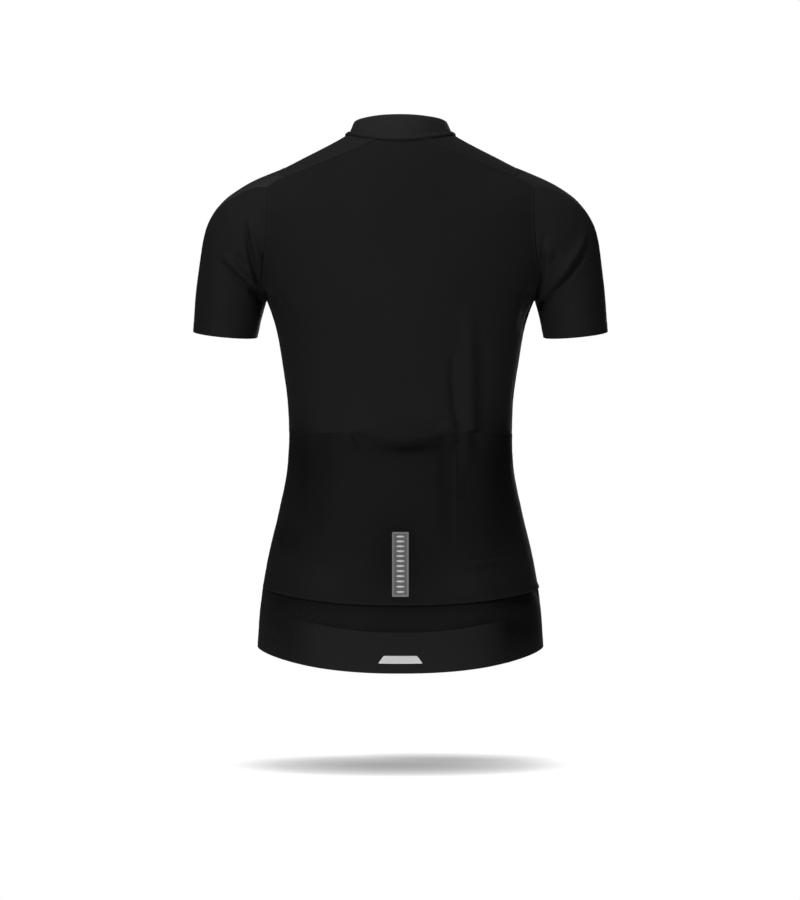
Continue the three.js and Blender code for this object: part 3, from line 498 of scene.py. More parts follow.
def cloth_object(name, skin, normals, thickness, free_edges=(), shade=0):
    """A closed shell round a skin in millimetres. Its shade, painted into the colour, is kept on the points
    for the material.
    """
    rows, columns = skin.shape[:2]
    count = rows * columns
    outer = skin.reshape(-1, 3)
    inner = (skin - normals * thickness).reshape(-1, 3)
    order = np.arange(count).reshape(rows, columns)
    quads = np.stack([order[:-1, :-1], order[:-1, 1:], order[1:, 1:], order[1:, :-1]], -1).reshape(-1, 4)
    rim_cells = perimeter(rows, columns)
    edge = np.array([order[cell] for cell, _, _ in rim_cells])
    inside = np.array([order[cell] for _, cell, _ in rim_cells])
    swell = np.array([RIM_SWELL if side in free_edges else 0.0 for _, _, side in rim_cells])
    outward = unit(outer[edge] - outer[inside])
    rim = (outer[edge] + inner[edge]) / 2 + outward * swell[:, None] * thickness
    rim_order = 2 * count + np.arange(len(edge))
    following = np.roll(np.arange(len(edge)), -1)
    upper = np.stack([edge, rim_order, rim_order[following], edge[following]], -1)
    lower = np.stack([rim_order, edge + count, edge[following] + count, rim_order[following]], -1)
    points = np.concatenate([outer, inner, rim])
    faces = np.concatenate([quads, quads[:, ::-1] + count, upper, lower])
    if signed_volume(points, faces) < 0:
        faces = faces[:, ::-1]
    mesh = bpy.data.meshes.new(name)
    mesh.from_pydata((points * MM).tolist(), [], faces.tolist())
    mesh.polygons.foreach_set("use_smooth", np.ones(len(faces), bool))
    across = lengths_across(skin)
    flat = np.stack([across - across[:, columns // 2][:, None], lengths_up(skin)], -1).reshape(-1, 2)
    flat = np.concatenate([flat, flat, flat[edge]])
    corner = np.zeros(len(mesh.loops), np.int32)
    mesh.loops.foreach_get("vertex_index", corner)
    mesh.uv_layers.new(name="cloth").data.foreach_set("uv", flat[corner].astype(np.float32).ravel())
    shade = np.broadcast_to(shade, (rows, columns)).reshape(-1)
    kept = np.concatenate([shade, shade, shade[edge]]).astype(np.float32)
    mesh.attributes.new("shade", "FLOAT", "POINT").data.foreach_set("value", kept)
    mesh.update()
    return new_object(name, mesh)


def cut_size(skin):
    """Width, length and area of the flat cut, in metres, measured on the skin."""
    across, up = lengths_across(skin), lengths_up(skin)
    a, b, c, d = skin[:-1, :-1], skin[:-1, 1:], skin[1:, 1:], skin[1:, :-1]
    area = np.linalg.norm(np.cross(c - a, d - b), axis=-1).sum() / 2
    width, length = float(across[:, -1].max()) * MM, float(up[-1].max()) * MM
    return (round(width, 4), round(length, 4)), min(float(area) * MM * MM, width * length)


# %% [markdown]
# A sewn edge is never a bare line. The stitches pull the cloth down into a groove, the allowance
# under it lifts a low welt beside it, and the thread gathers the cloth into small uneven puckers.
# A folded hem is double, so it stands a little proud up to its stitch line. This relief is less than
# a millimetre high and is added along the normal before the shell is closed. Beside a welt a thin
# lighter line is painted into the colour, a painted highlight where the welt's ridge catches light.

# %% Seams, hems and calm unevenness
rng = np.random.default_rng(7)


def uneven_line(along, wavelengths):
    """A smooth uneven wave of about unit height along a seam."""
    wave = np.zeros(np.shape(along))
    for wavelength in wavelengths:
        wave = wave + np.sin(2 * math.pi * along / wavelength + rng.uniform(0, 2 * math.pi))
    return wave / len(wavelengths)


def sewn_edge(distance, along, groove=0.14, welt=0.0, pucker=0.16):
    """Lift beside a seam at distance 0. The side that the allowance lies under has a welt."""
    line = -groove * bump_at(distance, 0, 1.1)
    raised = welt * bump_at(distance, 1.7, 1.3)
    gathers = pucker * uneven_line(along, (7.5, 11, 17.5, 31)) * bump_at(distance, 0, 7)
    return line + raised + gathers


def sewn_sides(lift, edges, welt=0.0):
    """A lift with a seam added along both sides of its grid."""
    for side in ("first_column", "last_column"):
        lift = lift + sewn_edge(edges[side], edges["first_row"], welt=welt)
    return lift


def painted_seam_highlight(distance, painted_light):
    """A painted highlight along a seam: a thin lighter line in the colour where the welt's ridge catches
    light.
    """
    return -painted_light * bump_at(distance, 1.5, 1.15)


def folded_hem(distance, along, depth, height=0.45):
    """Lift of a hem that is folded back by its depth and stitched there."""
    double = height * (1 - soft_step(depth - 0.8, depth + 0.8, distance))
    stitch = -height * bump_at(distance, depth, 1.1)
    return double + stitch + 0.12 * uneven_line(along, (13, 29)) * bump_at(distance, depth, 5)


CALM_WAVES = 7


def calm_waves(x, z, height, shortest=60, longest=150):
    """Broad faint unevenness, so that no panel is as even as a drawing."""
    wave = np.zeros(np.shape(x))
    for _ in range(CALM_WAVES):
        heading = rng.uniform(0, math.pi)
        wavelength = rng.uniform(shortest, longest)
        phase = rng.uniform(0, 2 * math.pi)
        onwards = x * math.cos(heading) + z * math.sin(heading)
        wave = wave + np.sin(2 * math.pi * onwards / wavelength + phase)
    return height * wave / math.sqrt(CALM_WAVES)


def joined_stretches(*stretches):
    """Climbs from stretches of (low, high, spacing), with no place repeated."""
    parts = []
    for low, high, spacing in stretches:
        steps = np.linspace(low, high, max(2, int(round(abs(high - low) / spacing)) + 1))
        parts.append(steps if not parts else steps[1:])
    return np.concatenate(parts)


def lifted(base, base_normals, lift):
    """A skin moved along its normals, and its own new normals."""
    skin = base + base_normals * lift[..., None]
    return skin, grid_normals(skin)


CLOTH = 0.9
print("cloth", CLOTH, "mm thick")

# %% [markdown]
# Black cloth shows its kind only by its relief and its sheen: a knit of small loops, a mesh of
# staggered holes, a fine rib on the collar, a smooth band at the hem. One builder makes them all
# from a table. The relief is a height made with sines of the cloth's own millimetres, and the same
# height paints shade into the colour of the low places and the holes; noise varies the tone a little,
# as dye and stretch do. Sheen gives the soft light edge that brushed synthetic yarn shows where the
# cloth turns away.

# %% Fabric materials
def grey(level):
    """A neutral linear colour from a display grey between 0 and 255."""
    share = level / 255
    linear = share / 12.92 if share <= 0.04045 else ((share + 0.055) / 1.055) ** 2.4
    return (linear, linear, linear * 1.01, 1)


def node_math(tree, operation, *inputs):
    node = tree.nodes.new("ShaderNodeMath")
    node.operation = operation
    for socket, value in zip(node.inputs, inputs):
        if isinstance(value, (int, float)):
            socket.default_value = value
        else:
            tree.links.new(value, socket)
    return node.outputs[0]


def sine_of(tree, coordinate, period):
    return node_math(tree, "SINE", node_math(tree, "MULTIPLY", coordinate, 2 * math.pi / period))


def pattern_height(tree, pattern, u, v, pitch):
    """A height from 0 to 1 for each kind of cloth, from the millimetres across and up."""
    if pattern == "knit":
        wale = node_math(tree, "ABSOLUTE", sine_of(tree, u, 2 * pitch))
        slant = node_math(tree, "MULTIPLY_ADD", wale, 0.45 * pitch, v)
        loop = node_math(tree, "MULTIPLY_ADD", sine_of(tree, slant, 0.8 * pitch), 0.25, 0.75)
        return node_math(tree, "MULTIPLY", wale, loop)
    if pattern == "mesh":
        dots = node_math(tree, "MULTIPLY", sine_of(tree, u, 2 * pitch), sine_of(tree, v, 2 * pitch))
        widened = node_math(tree, "MULTIPLY", node_math(tree, "MAXIMUM", dots, 0.0), 1.6)
        return node_math(tree, "SUBTRACT", 1.0, node_math(tree, "MINIMUM", widened, 1.0))
    if pattern == "rib":
        return node_math(tree, "ABSOLUTE", sine_of(tree, u, 2 * pitch))
    if pattern == "weave":
        across = node_math(tree, "ABSOLUTE", sine_of(tree, node_math(tree, "ADD", u, v), 2 * pitch))
        return node_math(tree, "POWER", across, 0.6)
    return node_math(tree, "MULTIPLY_ADD", sine_of(tree, v, 2 * pitch), 0.5, 0.5)


BROAD_NOISE, FINE_NOISE = (14, 3), (900, 2)


def soft_noise(tree, scale, detail):
    """Noise on the piece's own place in metres."""
    place = tree.nodes.new("ShaderNodeTexCoord")
    noise = tree.nodes.new("ShaderNodeTexNoise")
    noise.inputs["Scale"].default_value = scale
    noise.inputs["Detail"].default_value = detail
    tree.links.new(place.outputs["Object"], noise.inputs["Vector"])
    return noise.outputs["Fac"]


def set_shader(shader, **values):
    for name, value in values.items():
        shader.inputs[name.replace("_", " ").title().replace("Ior", "IOR")].default_value = value


def new_material(name):
    """A material with its node tree and its shader."""
    material = bpy.data.materials.new(name)
    material.use_nodes = True
    return material, material.node_tree, material.node_tree.nodes["Principled BSDF"]


def colour_ramp(tree, share, dark_end, pale_end):
    """A colour between two ends, each given as its share and its display grey."""
    ramp = tree.nodes.new("ShaderNodeValToRGB")
    for element, (position, level) in zip(ramp.color_ramp.elements, (dark_end, pale_end)):
        element.position = position
        element.color = grey(level)
    tree.links.new(share, ramp.inputs[0])
    return ramp.outputs[0]


def add_relief(tree, shader, height, depth):
    """Bumps the surface by a height from 0 to 1 that is this many millimetres deep."""
    relief = tree.nodes.new("ShaderNodeBump")
    relief.inputs["Strength"].default_value = 1
    relief.inputs["Distance"].default_value = depth * MM
    tree.links.new(height, relief.inputs["Height"])
    tree.links.new(relief.outputs[0], shader.inputs["Normal"])


def fabric_material(name, tone, pattern, pitch, depth, roughness, sheen, gloss, painted_hollow_shade):
    """Cloth whose low places get painted shade, darker than its ridges by the share painted_hollow_shade."""
    material, tree, shader = new_material(name)
    cloth = tree.nodes.new("ShaderNodeUVMap")
    cloth.uv_map = "cloth"
    axes = tree.nodes.new("ShaderNodeSeparateXYZ")
    tree.links.new(cloth.outputs[0], axes.inputs[0])
    height = pattern_height(tree, pattern, axes.outputs[0], axes.outputs[1], pitch)
    broad = soft_noise(tree, *BROAD_NOISE)
    fine = soft_noise(tree, *FINE_NOISE)
    tone_share = node_math(tree, "MULTIPLY_ADD", height, 0.5, node_math(tree, "MULTIPLY", broad, 0.35))
    tone_share = node_math(tree, "MULTIPLY_ADD", fine, 0.3, tone_share)
    colour = colour_ramp(tree, tone_share, (0.15, tone * (1 - painted_hollow_shade)), (0.95, tone * 1.08))
    # The shade attribute is painted shade that darkens the colour, and below nought painted light.
    shade = tree.nodes.new("ShaderNodeAttribute")
    shade.attribute_name = "shade"
    kept = node_math(tree, "SUBTRACT", 1.0, shade.outputs["Fac"])
    shaded = tree.nodes.new("ShaderNodeVectorMath")
    shaded.operation = "SCALE"
    tree.links.new(colour, shaded.inputs[0])
    tree.links.new(kept, shaded.inputs["Scale"])
    tree.links.new(shaded.outputs[0], shader.inputs["Base Color"])
    rough = node_math(tree, "MULTIPLY_ADD", broad, 0.1, roughness - 0.05)
    tree.links.new(rough, shader.inputs["Roughness"])
    add_relief(tree, shader, height, depth)
    set_shader(shader, specular_ior_level=gloss, sheen_weight=sheen, sheen_roughness=0.45)
    shader.inputs["Sheen Tint"].default_value = (0.75, 0.77, 0.8, 1)
    return material


FABRICS = table(
    ["name", "tone", "pattern", "pitch", "depth", "roughness", "sheen", "gloss", "painted_hollow_shade"],
    [
        ["back knit", 27.5, "knit", 0.75, 0.10, 0.72, 0.012, 0.08, 0.35],
        ["front knit", 30, "knit", 0.75, 0.10, 0.68, 0.02, 0.1, 0.35],
        ["pocket weave", 20, "weave", 0.6, 0.07, 0.74, 0.01, 0.07, 0.3],
        ["mesh", 22, "mesh", 1.65, 0.5, 0.8, 0.01, 0.07, 0.95],
        ["hem band", 21.5, "smooth", 0.7, 0.03, 0.62, 0.01, 0.08, 0.1],
        ["collar rib", 38, "rib", 0.65, 0.12, 0.66, 0.02, 0.1, 0.3],
        ["neck tape", 34, "weave", 0.5, 0.06, 0.7, 0.01, 0.08, 0.2],
        ["zip tape", 22, "rib", 0.45, 0.08, 0.8, 0.01, 0.1, 0.3],
        ["label cloth", 92, "weave", 0.4, 0.05, 0.55, 0.02, 0.15, 0.15],
        ["label rim", 116, "weave", 0.4, 0.06, 0.5, 0.02, 0.15, 0.15],
    ],
)
fabrics = {row["name"]: fabric_material(**row) for row in FABRICS}
print("fabrics:", ", ".join(fabrics))

# %% [markdown]
# The hard pieces are small: a painted metal slider and pull, moulded teeth, and reflective film. The
# film is full of tiny glass beads that send light back, so it is pale and grainy with a soft shine.
# The floor is plain pale plaster with a faint unevenness, so that it isn't one flat colour. It glows
# as painted light: dim under the jersey, which deepens the soft shadow there with painted shadow, and
# rising to pure white away from it.

# %% Hard materials and the floor
def plain_material(name, tone, metallic, roughness, gloss, grain_scale, grain_depth, spread):
    """A hard surface whose grey varies by the share spread, with a fine grain."""
    material, tree, shader = new_material(name)
    grain = soft_noise(tree, grain_scale, 4)
    colour = colour_ramp(tree, grain, (0.3, tone * (1 - spread)), (0.7, min(tone * (1 + spread), 255)))
    tree.links.new(colour, shader.inputs["Base Color"])
    rough = node_math(tree, "MULTIPLY_ADD", grain, 0.16, roughness - 0.08)
    tree.links.new(rough, shader.inputs["Roughness"])
    add_relief(tree, shader, grain, grain_depth)
    set_shader(shader, metallic=metallic, specular_ior_level=gloss)
    return material


PLAIN = table(
    ["name", "tone", "metallic", "roughness", "gloss", "grain_scale", "grain_depth", "spread"],
    [
        ["painted metal", 46, 0.5, 0.48, 0.4, 900, 0.03, 0.12],
        ["zip teeth", 24, 0.0, 0.38, 0.45, 1500, 0.02, 0.1],
        ["reflective film", 190, 0.25, 0.42, 0.5, 2200, 0.05, 0.1],
        ["thread", 32, 0.0, 0.55, 0.15, 1200, 0.02, 0.12],
        ["plaster floor", 246, 0.0, 0.9, 0.1, 3, 0.4, 0.015],
    ],
)
# The floor's emission is painted light, dimmest in the middle, so it paints part of the shadow.
GLOW_HALF_WIDTH, GLOW_HALF_DEPTH = 0.205, 0.125
GLOW_IN_MIDDLE, GLOW_RISE = 0.03, 0.6
plain = {row["name"]: plain_material(**row) for row in PLAIN}
floor.data.materials.append(plain["plaster floor"])
floor_tree = plain["plaster floor"].node_tree
floor_shader = floor_tree.nodes["Principled BSDF"]
floor_shader.inputs["Emission Color"].default_value = (1, 1, 1, 1)
floor_place = floor_tree.nodes.new("ShaderNodeTexCoord")
floor_axes = floor_tree.nodes.new("ShaderNodeSeparateXYZ")
floor_tree.links.new(floor_place.outputs["Object"], floor_axes.inputs[0])
squares = []
for axis, reach in enumerate((GLOW_HALF_WIDTH, GLOW_HALF_DEPTH)):
    share = node_math(floor_tree, "DIVIDE", floor_axes.outputs[axis], reach)
    squares.append(node_math(floor_tree, "POWER", share, 2))
outwards = node_math(floor_tree, "ADD", *squares)
glow = node_math(floor_tree, "MULTIPLY_ADD", outwards, GLOW_RISE, GLOW_IN_MIDDLE)
floor_tree.links.new(node_math(floor_tree, "MINIMUM", glow, 1.0), floor_shader.inputs["Emission Strength"])
print("hard materials:", ", ".join(plain))

# %% [markdown]
# Laying a piece does the same things each time: it makes the shell, gives it its fabric, lets it
# ride on the jersey, hides the plain wall it stands for and says what size its cut was. The skins
# are kept, because the stitches are laid on them afterwards.

# %% Laying a panel
skins = {}


def lay_cloth(name, skin, normals, fabric, node, free=(),
              thickness=CLOTH, turned=0, shade=0):
    """turned is how many millimetres of the cut are folded under; shade is painted shade in its colour, and
    below nought painted light.
    """
    piece = cloth_object(name, skin, normals, thickness, free, shade)
    piece.data.materials.append(fabrics[fabric])
    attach(piece, "jersey")
    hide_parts(node)
    flat, area = cut_size(skin)
    flat, area = (flat[0], flat[1] + turned * MM), area + flat[0] * turned * MM
    skins[name] = (skin, normals)
    print(f"{name}: cut {flat[0] * 1000:.0f} x {flat[1] * 1000:.0f} mm, {area * 1e4:.0f} square cm, "
          f"{len(piece.data.polygons)} faces")


def crowded(count, tight=(0.004, 0.009, 0.016, 0.025)):
    """Shares from 0 to 1 that lie closer together at both ends, where the seams are."""
    tight = np.array(tight)
    return np.concatenate([[0], tight, np.linspace(0.036, 0.964, count), 1 - tight[::-1], [1]])


NARROW_ENDS = (0.003, 0.008, 0.015)
ALL_EDGES = ("first_row", "last_row", "first_column", "last_column")


def seam_to_seam(climbs, count):
    """A grid on the back at these climbs: its angles, its points and their distances from each edge."""
    angles = back_edge_angle(climbs)[:, None] * (2 * crowded(count)[None, :] - 1)
    base = torso_point(climbs[:, None], angles)
    return angles, base, edge_distances(base)


# %% [markdown]
# Patches of painted shade darken the cloth where creases, the pocket lip and slopes turned away
# from the light lie in shade, and a patch whose shade is below nought is painted light. The
# patches are soft, placed one by one and kept to one table a panel.

# %% Painted shade
PAINTED_SHADE_COLUMNS = ["x", "z", "width", "height", "shade"]
PALEST, DARKEST = -0.3, 0.88


def painted_shade_patches(x, z, patches):
    """Painted shade from soft patches; a patch whose shade is below nought is painted light."""
    shade = np.zeros(np.shape(x))
    for patch in patches:
        row = patch["shade"] * bump_at(x, patch["x"], patch["width"])
        shade = shade + row * bump_at(z, patch["z"], patch["height"])
    return np.clip(shade, PALEST, DARKEST)


BACK_PAINTED_SHADE = table(PAINTED_SHADE_COLUMNS, [
    [0, -48, 70, 62, 0.12], [-70, -62, 50, 50, 0.08], [95, -75, 40, 60, 0.07],
    [-106, -262, 42, 80, -0.12],
])
POCKET_PAINTED_SHADE = table(PAINTED_SHADE_COLUMNS, [
    [-114, -350, 25, 54, 0.8], [-108, -430, 36, 42, 0.42], [-80, -380, 16, 40, 0.14],
    [100, -366, 18, 48, 0.5], [98, -425, 14, 26, 0.16], [126, -452, 14, 16, 0.3],
    [0, -470, 34, 46, 0.52], [88, -496, 22, 18, -0.26], [-72, -498, 20, 18, -0.26],
    [-51, -398, 7, 58, 0.26], [-10, -343, 31, 8, 0.84],
])
MESH_PAINTED_SHADE = table(PAINTED_SHADE_COLUMNS, [
    [-142, -546, 32, 36, 0.95], [-146, -510, 26, 14, 0.45], [-116, -512, 30, 8, 0.5],
    [136, -514, 34, 14, 0.3], [140, -546, 26, 26, 0.22], [0, -525, 95, 10, 0.12],
])

# %% [markdown]
# The back is one piece of knit from the neck down behind the pockets. Its folds hang from the right
# shoulder blade to the pocket mouth, and short ones run in from the armpits. Behind the pockets it
# lies lower by more than a cloth's thickness, up to a line that sags with the mouth of the middle
# pocket, so the pockets are flush with it at the sides.

# %% Back
POCKET_SINK = 1.55
MOUTH_SAG, MOUTH_HALF_WIDTH = 9, 58
SAG_MIDDLE_X, SAG_HALF_WIDTH = -4, 54
SIDE_LINE_HIGHLIGHT = 0.34
back_climbs = joined_stretches(
    (POCKET_FOOT, POCKET_LINE - 28, 6), (POCKET_LINE - 28, POCKET_LINE, 2.3),
    (POCKET_LINE, ARMPIT, 2.2), (ARMPIT, CORNER, 2.2), (CORNER, YOKE_END, 1.5),
    (YOKE_END, NECK - 3, 2), (NECK - 3, NECK, 0.8),
)
back_angles, back_base, back_edges = seam_to_seam(back_climbs, 128)
back_x, back_z = seen_from_behind(back_base)
above_pockets = soft_step(POCKET_LINE - 6, POCKET_LINE + 6, back_climbs)[:, None]
back_lift = fold_height(back_x, back_z, BACK_FOLDS) * above_pockets
back_lift = back_lift + calm_waves(back_x, back_z, 0.35) * above_pockets
sagging = MOUTH_SAG * np.clip(np.cos(back_x / MOUTH_HALF_WIDTH * math.pi / 2), 0, 1)
sagging = sagging * (np.abs(back_x - SAG_MIDDLE_X) < SAG_HALF_WIDTH)
over_line = soft_step(POCKET_LINE - 7, POCKET_LINE + 1, back_climbs[:, None] + sagging)
back_lift = back_lift - POCKET_SINK * (1 - over_line)
back_lift = sewn_sides(back_lift, back_edges, welt=0.8)
back_lift = back_lift + sewn_edge(back_edges["last_row"], back_edges["first_column"])
back_skin, back_normals = lifted(back_base, torso_normal(back_climbs[:, None], back_angles), back_lift)
# The back's colour gets patches of painted shade, one patch of painted light, and a painted highlight line
# along both side seams.
back_shade = painted_shade_patches(back_x, back_z, BACK_PAINTED_SHADE)
for side in ("first_column", "last_column"):
    back_shade = back_shade + painted_seam_highlight(back_edges[side], SIDE_LINE_HIGHLIGHT)
lay_cloth("back", back_skin, back_normals, "back knit", "back_upper",
          shade=back_shade)

# %% [markdown]
# Under the pockets the back goes on as an open mesh down to the dropped hem. Its hem edge is free,
# its top dips in under the foot of the pockets, and at the right side the cloth sinks in a little
# where the photograph shows it darkest. Its folds die away before the side seams.

# %% Mesh under the pockets
MESH_FOLDS = table(FOLD_COLUMNS, [
    [[(-132, -508), (-140, -512), (-154, -508)], 9, -2.4, "start"],
    [[(-126, -534), (-138, -546), (-150, -552)], 9, -2.0, "both"],
    [[(-112, -528), (-124, -540)], 8, 1.2, "both"],
    [[(128, -512), (140, -520), (152, -522)], 9, -1.6, "start"],
    [[(136, -540), (146, -556)], 9, 1.0, "both"],
])
TOP_DIP, LEFT_AT_SIDES = 0.8, 0.06
mesh_climbs = joined_stretches((HEM, HEM + 3, 0.8), (HEM + 3, POCKET_FOOT, 2))
mesh_angles, mesh_base, mesh_edges = seam_to_seam(mesh_climbs, 126)
mesh_x, mesh_z = seen_from_behind(mesh_base)
mesh_lift = fold_height(mesh_x, mesh_z, MESH_FOLDS) + calm_waves(mesh_x, mesh_z, 0.3)
mesh_lift = mesh_lift - POCKET_SINK * soft_step(POCKET_FOOT - 12, POCKET_FOOT - 1, mesh_climbs)[:, None]
mesh_off_sides = soft_step(0, 14, mesh_edges["first_column"]) * soft_step(0, 14, mesh_edges["last_column"])
mesh_lift = mesh_lift - TOP_DIP * bump_at(mesh_edges["last_row"], 0, 2.5)
mesh_lift = mesh_lift * (LEFT_AT_SIDES + (1 - LEFT_AT_SIDES) * mesh_off_sides)
mesh_lift = sewn_sides(mesh_lift, mesh_edges)
mesh_skin, mesh_normals = lifted(mesh_base, torso_normal(mesh_climbs[:, None], mesh_angles), mesh_lift)
# Patches of painted shade darken the mesh under the pocket foot and near its sides.
lay_cloth("mesh_under_pockets", mesh_skin, mesh_normals, "mesh", "back_lower",
          free=("first_row",), shade=painted_shade_patches(mesh_x, mesh_z, MESH_PAINTED_SHADE))

# %% [markdown]
# The three pockets are one panel of closer cloth, sewn down at its foot, its sides and two divider
# seams. Its top edge is a narrow hem with elastic in it. Between the seams the panel gapes: the
# middle lip sags and flares out, so the cloth just under it faces the floor and turns dark, and
# painted shade darkens it further. Patches of painted shade darken other parts of the pockets, and
# two of painted light lighten their lower corners.

# %% Pocket shape
LEFT_DIVIDER_X = 53
RIGHT_DIVIDER_X = -62.5
MOUTH_HEM = 6
LEFT_GAPE, CENTRE_GAPE, RIGHT_GAPE = 6, 5, 11
LIP_FLARE, LIP_SAG, SAG_HEIGHT = 8, 8, 40
POCKET_FULLNESS = table(["across", "left", "centre", "right"], [
    [0, 0, 0, 0], [0.1, 0, 0.12, 0], [0.24, 0.4, 0.6, 0.2], [0.36, 1, 0.9, 0.5],
    [0.5, 0.8, 1, 0.8], [0.64, 0.5, 0.9, 1], [0.76, 0.25, 0.6, 0.85], [0.9, 0.03, 0.12, 0.2], [1, 0, 0, 0],
])
fullness = {name: curve_over(POCKET_FULLNESS, "across", name) for name in ("left", "centre", "right")}


def soft_floor(value, lowest, blend):
    """Keeps a lift above the cloth that lies under it, without a crease."""
    return lowest + blend * np.log1p(np.exp(np.minimum((value - lowest) / blend, 60)))


def divider_angle(climb, divider_x):
    found = seam_angle(climb, 2 * DEGREE, 88 * DEGREE, lambda p: seen_from_behind(p)[0] < abs(divider_x))
    return math.copysign(1, divider_x) * found


def place_in_pocket(climb, angle):
    """How far a place is across its pocket, from a side seam to a divider, or from right to left."""
    climb, angle = np.broadcast_arrays(climb, angle)
    edge = back_edge_angle(climb)
    right, left = divider_angle(climb, RIGHT_DIVIDER_X), divider_angle(climb, LEFT_DIVIDER_X)
    return {
        "right": np.where(angle < right, np.clip((angle + edge) / (right + edge), 0, 1), 0),
        "left": np.where(angle > left, np.clip((edge - angle) / (edge - left), 0, 1), 0),
        "centre": np.clip((angle - right) / (left - right), 0, 1),
    }


def pocket_lift(climb, angle):
    across = place_in_pocket(climb, angle)
    up = np.clip((climb - POCKET_FOOT) / (POCKET_LINE - POCKET_FOOT), 0, 1)
    lift = LEFT_GAPE * fullness["left"](across["left"]) * up**1.4
    lift = lift + RIGHT_GAPE * fullness["right"](across["right"]) * up**1.1
    lift = lift + CENTRE_GAPE * fullness["centre"](across["centre"]) * up
    flare = 1 - soft_step(0, 34, POCKET_LINE - climb)
    return lift + LIP_FLARE * np.sin(math.pi * across["centre"]) ** 2.4 * flare


def lip_sag(climb, angle):
    across = place_in_pocket(climb, angle)["centre"]
    return LIP_SAG * soft_step(POCKET_LINE - SAG_HEIGHT, POCKET_LINE, climb) * np.sin(math.pi * across) ** 2


POCKET_FOLDS = table(FOLD_COLUMNS, [
    [[(60, -330), (53, -341), (46, -350)], 3.0, -3.6, "end"],
    [[(54, -325), (49, -338), (42, -348)], 4.0, 2.2, "end"],
    [[(55, -341), (50, -352)], 3.5, 1.7, "end"],
    [[(-56, -332), (-60, -346)], 5.0, 2.5, "end"],
    [[(-72, -330), (-74, -350), (-75, -374)], 6.0, 3.1, "end"],
    [[(-84, -330), (-85, -352)], 5.0, -2.0, "end"],
    [[(-51, -346), (-51, -400), (-54, -452)], 5.5, -2.5, "both"],
    [[(-70, -384), (-73, -396), (-69, -410)], 3.0, -1.7, "both"],
    [[(-98, -345), (-112, -384), (-124, -410)], 14, -2.5, "both"],
    [[(102, -330), (104, -385), (101, -425)], 9, 2.5, "end"],
    [[(85, -334), (85, -400), (97, -440)], 7, -3.4, "end"],
    [[(120, -376), (118, -415)], 4.0, -1.5, "both"],
    [[(127, -430), (119, -446), (108, -464)], 7.0, -3.1, "both"],
    [[(136, -438), (130, -458), (122, -482)], 7.0, 2.5, "both"],
    [[(-67, -478), (-80, -476), (-100, -471), (-122, -466)], 3.6, 2.1, "both"],
    [[(-66, -484), (-82, -482), (-102, -477), (-124, -472)], 4.0, -2.1, "both"],
    [[(-105, -486), (-107, -508)], 3.2, -1.3, "both"],
    [[(0, -420), (0, -470), (0, -512)], 24, -3.6, "start"],
    [[(30, -350), (34, -372)], 6.0, -0.8, "both"],
    [[(-14, -352), (-10, -366)], 6.0, -0.8, "both"],
])

# %% Pocket panel
DIVIDER_RIDGE = 0.65
FOOT_STANDS, RIGHT_FOOT_STANDS, LEFT_FOOT_STANDS = 0.7, 3.0, 0.9
pocket_climbs = joined_stretches(
    (POCKET_FOOT, POCKET_FOOT + 4, 0.9), (POCKET_FOOT + 4, POCKET_LINE - 26, 2.2),
    (POCKET_LINE - 26, POCKET_LINE - 2, 1.6), (POCKET_LINE - 2, POCKET_LINE, 0.7),
)[:, None]
pocket_edge = back_edge_angle(pocket_climbs)
right_divider = divider_angle(pocket_climbs, RIGHT_DIVIDER_X)
left_divider = divider_angle(pocket_climbs, LEFT_DIVIDER_X)
side_shares = crowded(34, (0.009, 0.018, 0.027))[None, :]
middle_shares = crowded(60, (0.008, 0.017, 0.026))[None, :]
pocket_angles = np.concatenate([
    -pocket_edge + (right_divider + pocket_edge) * side_shares,
    (right_divider + (left_divider - right_divider) * middle_shares)[:, 1:],
    (left_divider + (pocket_edge - left_divider) * side_shares)[:, 1:],
], axis=1)
pocket_base = torso_point(pocket_climbs, pocket_angles)
pocket_x, pocket_z = seen_from_behind(pocket_base)
pocket_edges = edge_distances(pocket_base)
pocket_shape = pocket_lift(pocket_climbs, pocket_angles)
pocket_shape = pocket_shape + fold_height(pocket_x, pocket_z, POCKET_FOLDS)
off_the_sides = soft_step(0, 16, pocket_edges["first_column"]) * soft_step(0, 16, pocket_edges["last_column"])
pocket_shape = pocket_shape + calm_waves(pocket_x, pocket_z, 0.3, 40, 110)
pocket_shape = soft_floor(pocket_shape, -0.3, 0.45) * (0.15 + 0.85 * off_the_sides)
seam_on_right = soft_step(-462, -452, pocket_z) * bump_at(pocket_x, RIGHT_DIVIDER_X + 0.6, 1.5)
pocket_shape = pocket_shape + DIVIDER_RIDGE * seam_on_right
pocket_shape = sewn_sides(pocket_shape, pocket_edges)
mouth_hem = folded_hem(pocket_edges["last_row"], pocket_edges["first_column"], MOUTH_HEM, 0.15)
pocket_shape = pocket_shape + mouth_hem * off_the_sides
nearer_side = np.minimum(pocket_edges["first_column"], pocket_edges["last_column"])
foot_stands = FOOT_STANDS + RIGHT_FOOT_STANDS * soft_step(70, 120, -pocket_x)
foot_stands = (foot_stands + LEFT_FOOT_STANDS * soft_step(95, 135, pocket_x)) * soft_step(4, 34, nearer_side)
pocket_shape = pocket_shape + foot_stands * (1 - soft_step(0, 11, pocket_edges["first_row"]))
pocket_base[..., 2] -= lip_sag(pocket_climbs, pocket_angles)
pocket_skin, pocket_normals = lifted(pocket_base, torso_normal(pocket_climbs, pocket_angles), pocket_shape)
lay_cloth("pocket_panel_cloth", pocket_skin, pocket_normals, "pocket weave", "pocket_panel",
          free=("first_row", "last_row"), shade=painted_shade_patches(pocket_x, pocket_z, POCKET_PAINTED_SHADE))

